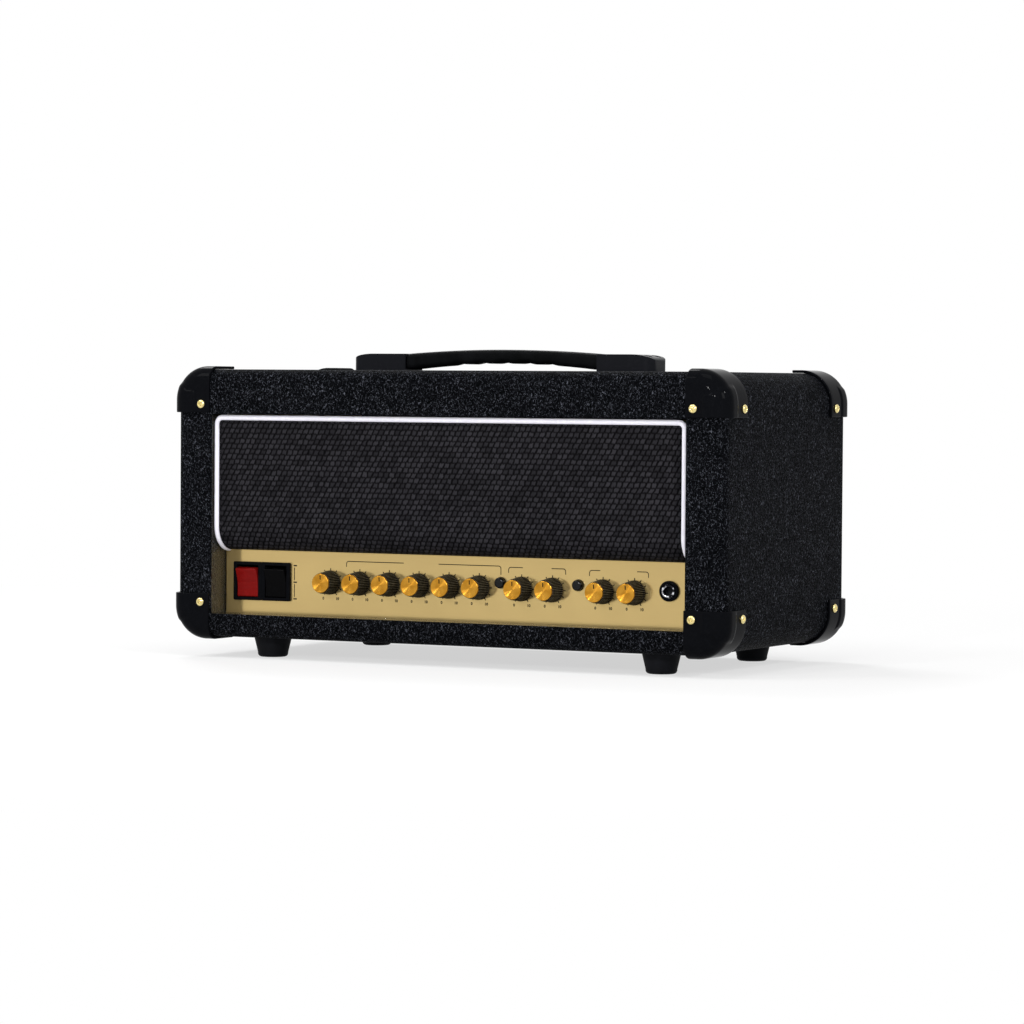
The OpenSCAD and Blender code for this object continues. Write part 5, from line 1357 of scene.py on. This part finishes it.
class AMP_OT_knobs(bpy.types.Operator):
    """Fits the ten fluted knobs with spun gold caps"""

    bl_idname = "amp_head.knobs"
    bl_label = "Knobs"

    def execute(self, context):
        for number, centre in enumerate(knob_centres(), 1):
            node = f"knob_{number}"
            centre[1] = panel_face()
            parts = [
                (placed(skin, centre, FRONT), material)
                for skin, material in knob_parts(node, context.scene.amp_head)]
            make_piece(
                f"{node}_skirt_and_cap", parts, [node], body=f"{node}_body",
                angle=40)
        dress(finish("aluminium"), "potentiometers")
        dress(finish("zinc"), "potentiometer_nuts")
        return {"FINISHED"}


def jack_skins(low, high, out, nut_face):
    """A jack: a nickelled bush with a rounded mouth and a deep bore, and the plastic body behind
    the wall. out is the way that the mouth points along Y, and nut_face the panel's face."""
    centre = (low + high) / 2
    mouth = low[1] if out < 0 else high[1]
    length = high[1] - low[1]
    centre[1] = mouth
    front = abs(nut_face - mouth)
    bore_r, mouth_r, rim_r, thread_r, body_half = 3.25, 1.0, 0.95, 5.0, 8.0
    bush = np.concatenate([
        [[AXIS_R, 2.0 - length], [bore_r, 2.0 - length], [bore_r, -mouth_r]],
        arc((bore_r + mouth_r, -mouth_r), mouth_r, 180, 90, 5), [[4.9, 0.0]],
        arc((4.9, -rim_r), rim_r, 80, 0, 4),
        [[4.9 + rim_r, -front - 2.0], [thread_r, -front - 2.4]],
        [[thread_r, 1.6 - length], [AXIS_R, 1.6 - length]],
    ])
    square = outline(body_half, body_half, 0.8, sides=(1, 1), steps=3)
    body = prism(square, -length, -front - 3.0)
    return [
        (placed(turned(bush, 40), centre, (0, out, 0)), finish("chrome")),
        (placed(body, centre, (0, out, 0)), finish("satin"))]


def nut_skin(low, high, out):
    """A round plastic jack nut with a rounded rim, open in the middle."""
    r, h, hole_r, round_r = (high[0] - low[0]) / 2, high[1] - low[1], 5.95, 0.9
    profile = np.concatenate([
        [[hole_r, 0.0], [r - 0.2, 0.0], [r, 0.2]],
        arc((r - round_r, h - round_r), round_r, 0, 90, 5),
        [[hole_r + 0.5, h], [hole_r, h - 0.4], [hole_r, 0.0]],
    ])
    centre = (low + high) / 2
    centre[1] = high[1] if out < 0 else low[1]
    return placed(turned(profile, 48, caps=(False, False)), centre, (0, out, 0))


class AMP_OT_jacks(bpy.types.Operator):
    """Fits the input jack and the seven jacks at the back"""

    bl_idname = "amp_head.jacks"
    bl_label = "Jack sockets"

    def execute(self, context):
        for node, nuts, out, face in (
            ("input_jack", "input_jack_nut", -1, panel_face()),
            ("rear_jacks", "rear_jack_nuts", 1, box_mm("rear_panel")[1][1]),
        ):
            parts = [p for low, high in solids_of(node) for p in jack_skins(low, high, out, face)]
            make_piece(f"{node}_bushes", parts, [node])
            rims = [(nut_skin(low, high, out), finish("gloss")) for low, high in solids_of(nuts)]
            make_piece(f"{nuts}_rims", rims, [nuts])
        return {"FINISHED"}


# ---------------------------------------------------------------- back and inside

class AMP_OT_back(bpy.types.Operator):
    """Finishes the rear panel, its grille, the mains inlet and the fuse holder"""

    bl_idname = "amp_head.back"
    bl_label = "Back panel"

    def execute(self, context):
        dress(finish("powder"), "rear_panel", "rear_grille")
        eased("mains_inlet", 0.4, finish("satin"))
        eased("fuse_holder", 0.5, finish("satin"))
        jacks = sorted(middles_of("rear_jack_nuts"), key=lambda middle: middle[0])
        shapes = []
        for number, place in enumerate(jacks, 1):
            flat, faces = numeral(str(number), 3.0)
            mirrored = flat * (-1, 1) + (place[0], place[2] - 13.5)
            shapes.append((mirrored, [face[::-1] for face in faces]))

        # a line over each group of jacks, by its first and last
        beside, above, drop = 9.5, 14.0, 4.0
        for first, last in ((0, 2), (3, 4), (5, 6)):
            x0, x1 = jacks[first][0] - beside, jacks[last][0] + beside
            left, right = line_ends(x0, x1, jacks[0][2] + above, drop, drop)
            shapes.append(ribbon([*left, *right], 0.5))
        ink = ink_skin(shapes, box_mm("rear_panel")[1][1], 1.0)
        make_piece("rear_panel_printing", [(ink, finish("white_ink"))], [])
        return {"FINISHED"}


def valve_parts(low, high, base_h, anode_r):
    """A valve standing on z = 0 of its own: a blown bulb with a domed top,
    (r cos a, top - r + r sin a), and a drawn tip, a squarish anode between two mica discs, a
    getter patch, and the base, unless its height is 0."""
    margin = 0.5 if base_h else 0.0
    height, r = high[2] - low[2], (high[0] - low[0]) / 2 - margin
    a = np.linspace(0, 1, 13)[:-1] * QUARTER
    dome = np.stack([r * np.cos(a), height - 2.5 - r + r * np.sin(a)], -1)
    glass = np.concatenate([
        [[r * 0.5, base_h], [r * 0.9, base_h + 0.4], [r - 0.1, base_h + 2.5]], dome,
        [[1.6, height - 2.3], [0.9, height - 0.6], [0.1, height]],
    ])
    mirror = dome[5:] * (0.955, 1) - (0, 0.9)
    mirror = np.concatenate([mirror, mirror[::-1] - (0.0, 0.35)])
    z0, z1 = base_h + height * 0.2, height - r - 5.0
    oblong = outline(anode_r, anode_r * 0.62, anode_r * 0.3, sides=(2, 2), steps=4)
    anode = prism(oblong, z0, z1)
    parts = [
        (turned(glass, 36), finish("glass")), (turned(mirror, 30), finish("getter")),
        (anode, finish("anode"))]
    mica_r, mica_t = r * 0.86, 0.5
    for z in (z0 - 0.6, z1 + 0.1):
        mica = [[AXIS_R, z], [mica_r, z], [mica_r, z + mica_t], [AXIS_R, z + mica_t]]
        parts.append((turned(mica, 24), finish("ceramic")))
    if base_h:
        base = [
            [AXIS_R, 0.0], [r + 0.2, 0.0], [r + 0.5, 0.5], [r + 0.5, base_h - 1.5],
            [r + 0.1, base_h - 0.2], [r - 1.2, base_h], [AXIS_R, base_h - 0.3]]
        parts.append((turned(base, 36), finish("bakelite")))
    place = [*((low + high) / 2)[:2], low[2]]
    return [(placed(skin, place, UP), material) for skin, material in parts]


class AMP_OT_valves(bpy.types.Operator):
    """Makes the power and preamp valves"""

    bl_idname = "amp_head.valves"
    bl_label = "Valves"

    def execute(self, context):
        for node, base_h, anode_r in (("power_valves", 14.0, 9.5), ("preamp_valves", 0.0, 6.0)):
            parts = [
                part for low, high in solids_of(node)
                for part in valve_parts(low, high, base_h, anode_r)]
            make_piece(f"{node}_in_glass", parts, [node], angle=50)
        return {"FINISHED"}


class AMP_OT_inside(bpy.types.Operator):
    """Finishes the woodwork, the chassis and everything on it"""

    bl_idname = "amp_head.inside"
    bl_label = "Woodwork and chassis"

    def execute(self, context):
        for name, axis, boards in (
            ("birch_plywood_level", 2, ("top_board", "bottom_board")),
            ("birch_plywood_upright", 0, ("left_board", "right_board")),
            ("birch_plywood_facing", 1, ("front_frame", "rear_frame", "cleats", "fret_board")),
        ):
            dress(plywood(name, axis), *boards)
        for name, *nodes in (
            ("pressed", "chassis"), ("pcb", "control_board", "main_board"),
            ("satin", "push_switches"), ("zinc", "board_pillars"),
            ("aluminium", "valve_retainers"), ("sleeve", "filter_capacitors"),
            ("laminations", "transformer_cores"), ("winding", "transformer_coils"),
            ("ceramic", "valve_sockets"),
        ):
            dress(finish(name), *nodes)
        return {"FINISHED"}


# ---------------------------------------------------------------- stage

# Camera: where it stands in metres, how it is turned in radians, and its lens in millimetres
CAMERA_AT = (1.4884, -2.8430, 0.2237)
CAMERA_YAW = 0.4818
CAMERA_PITCH = 0.0321
CAMERA_ROLL = -0.0071
CAMERA_LENS = 137.6

# Lamps: name, azimuth and elevation from the amplifier in degrees, distance and size in metres,
# and strength in watts. Azimuth 0 is in front and 90 to the right.
LAMPS = (
    ("low_front_dish", -6, 16, 2.6, 0.12, 13.5),
    ("front_dish", 10, 13, 2.6, 0.11, 10.0),
    ("right_dish", 78, 30, 2.6, 0.11, 12.0),
    ("right_softbox", 62, 22, 2.4, 0.6, 12.0),
    ("left_softbox", -42, 42, 2.6, 0.9, 16.0),
    ("top_softbox", 20, 74, 2.2, 0.9, 8.0),
    ("rear_softbox", 226, 47, 2.2, 0.8, 22.0),
)

# Floor: how far it reaches, and where it fades to white, in metres from the amplifier's middle
FLOOR_REACH = 12.0
FADE_START, FADE_END = 0.35, 1.2


def white_ray(tree):
    """1 for camera, glossy and transmission rays, which see the white background."""
    rays = add(tree, "LightPath").outputs
    seen = {0: rays["Is Camera Ray"], 1: rays["Is Glossy Ray"]}
    seen = {0: add(tree, "Math", seen, operation="MAXIMUM"), 1: rays["Is Transmission Ray"]}
    return add(tree, "Math", seen, operation="MAXIMUM")


def lay_floor(colour):
    """The pale floor: paper that fades to white away from the amplifier."""
    material, tree = begin("pale_studio_floor")
    place = add(tree, "TexCoord").outputs["Object"]
    away = add(tree, "VectorMath", {0: place}, operation="LENGTH")
    fade = add(
        tree, "MapRange", {0: away, 1: FADE_START, 2: FADE_END, 3: 0.62, 4: 1.0},
        interpolation_type="SMOOTHSTEP")
    share = add(tree, "Math", {0: fade, 1: white_ray(tree)}, operation="MULTIPLY")
    paper = add(tree, "BsdfDiffuse", {"Color": (*colour, 1.0)})
    white = add(tree, "Emission", {"Strength": 1.0})
    both = add(tree, "MixShader", {0: share, 1: paper, 2: white})
    add(tree, "OutputMaterial", {"Surface": both})
    mesh = bpy.data.meshes.new("studio_floor")
    signs = ((-1, -1), (1, -1), (1, 1), (-1, 1))
    mesh.from_pydata([(FLOOR_REACH * x, FLOOR_REACH * y, 0) for x, y in signs], [], [(0, 1, 2, 3)])
    mesh.materials.append(material)
    put("studio_floor", mesh)


def hang_background():
    """The world: white to look at, and a weak even light on the amplifier."""
    world = bpy.data.worlds.new("white_studio")
    world.use_nodes = True
    tree = world.node_tree
    tree.nodes.clear()
    strength = add(tree, "MapRange", {0: white_ray(tree), 3: 0.4, 4: 1.0})
    sky = add(tree, "Background", {"Color": (1.0, 1.0, 1.0, 1.0), "Strength": strength})
    add(tree, "OutputWorld", {"Surface": sky})
    bpy.context.scene.world = world


def hang_lamps():
    """The lamps, each turned to the amplifier. The small ones are round dishes."""
    target = Vector((0.0, -0.02, 0.12))
    for name, azimuth, elevation, distance, size, power in LAMPS:
        a, e = math.radians(azimuth), math.radians(elevation)
        way = Vector((math.sin(a) * math.cos(e), -math.cos(a) * math.cos(e), math.sin(e)))
        lamp = bpy.data.lights.new(name, "AREA")
        lamp.shape = "DISK" if size < 0.2 else "SQUARE"
        lamp.size = size
        lamp.energy = power
        holder = put(name, lamp)
        holder.location = target + way * distance
        holder.rotation_euler = (-way).to_track_quat("-Z", "Y").to_euler()


def set_camera():
    """The camera, from its place, yaw, pitch and roll."""
    camera = bpy.data.cameras.new("camera")
    camera.lens = CAMERA_LENS
    camera.sensor_width = 36.0
    camera.clip_start, camera.clip_end = 0.05, 100.0
    cy, sy = math.cos(CAMERA_YAW), math.sin(CAMERA_YAW)
    cp, sp = math.cos(CAMERA_PITCH), math.sin(CAMERA_PITCH)
    forward = Vector((-sy * cp, cy * cp, -sp))
    level = Vector((cy, sy, 0.0))
    down = forward.cross(level)
    right = level * math.cos(CAMERA_ROLL) + down * math.sin(CAMERA_ROLL)
    up = right.cross(forward)
    turn = Matrix((right, up, -forward)).transposed()
    holder = put("camera", camera)
    holder.matrix_world = Matrix.Translation(CAMERA_AT) @ turn.to_4x4()
    bpy.context.scene.camera = holder


class AMP_OT_stage(bpy.types.Operator):
    """Sets the floor, the background, the lamps and the camera"""

    bl_idname = "amp_head.stage"
    bl_label = "Stage"

    def execute(self, context):
        lay_floor(context.scene.amp_head.floor_white)
        hang_background()
        hang_lamps()
        set_camera()
        context.scene.view_settings.view_transform = "Standard"
        return {"FINISHED"}


# ---------------------------------------------------------------- add-on

OPERATORS = (
    AMP_OT_covering, AMP_OT_protectors, AMP_OT_box_screws, AMP_OT_feet, AMP_OT_handle, AMP_OT_fret,
    AMP_OT_panel, AMP_OT_switches, AMP_OT_buttons, AMP_OT_knobs, AMP_OT_jacks, AMP_OT_back,
    AMP_OT_valves, AMP_OT_inside, AMP_OT_stage,
)


class AMP_PT_panel(bpy.types.Panel):
    """Lists the settings and the pieces"""

    bl_idname = "AMP_PT_panel"
    bl_label = "Amp head"
    bl_space_type = "VIEW_3D"
    bl_region_type = "UI"
    bl_category = "Amp head"

    def draw(self, context):
        for name in AmpHeadSettings.__annotations__:
            self.layout.prop(context.scene.amp_head, name)
        for operator in OPERATORS:
            self.layout.operator(operator.bl_idname)


CLASSES = (AmpHeadSettings, *OPERATORS, AMP_PT_panel)


def register():
    for cls in CLASSES:
        bpy.utils.register_class(cls)
    bpy.types.Scene.amp_head = PointerProperty(type=AmpHeadSettings)


def unregister():
    del bpy.types.Scene.amp_head
    for cls in reversed(CLASSES):
        bpy.utils.unregister_class(cls)


def main():
    register()
    for operator in OPERATORS:
        group, name = operator.bl_idname.split(".")
        getattr(getattr(bpy.ops, group), name)()


if __name__ == "__main__":
    main()
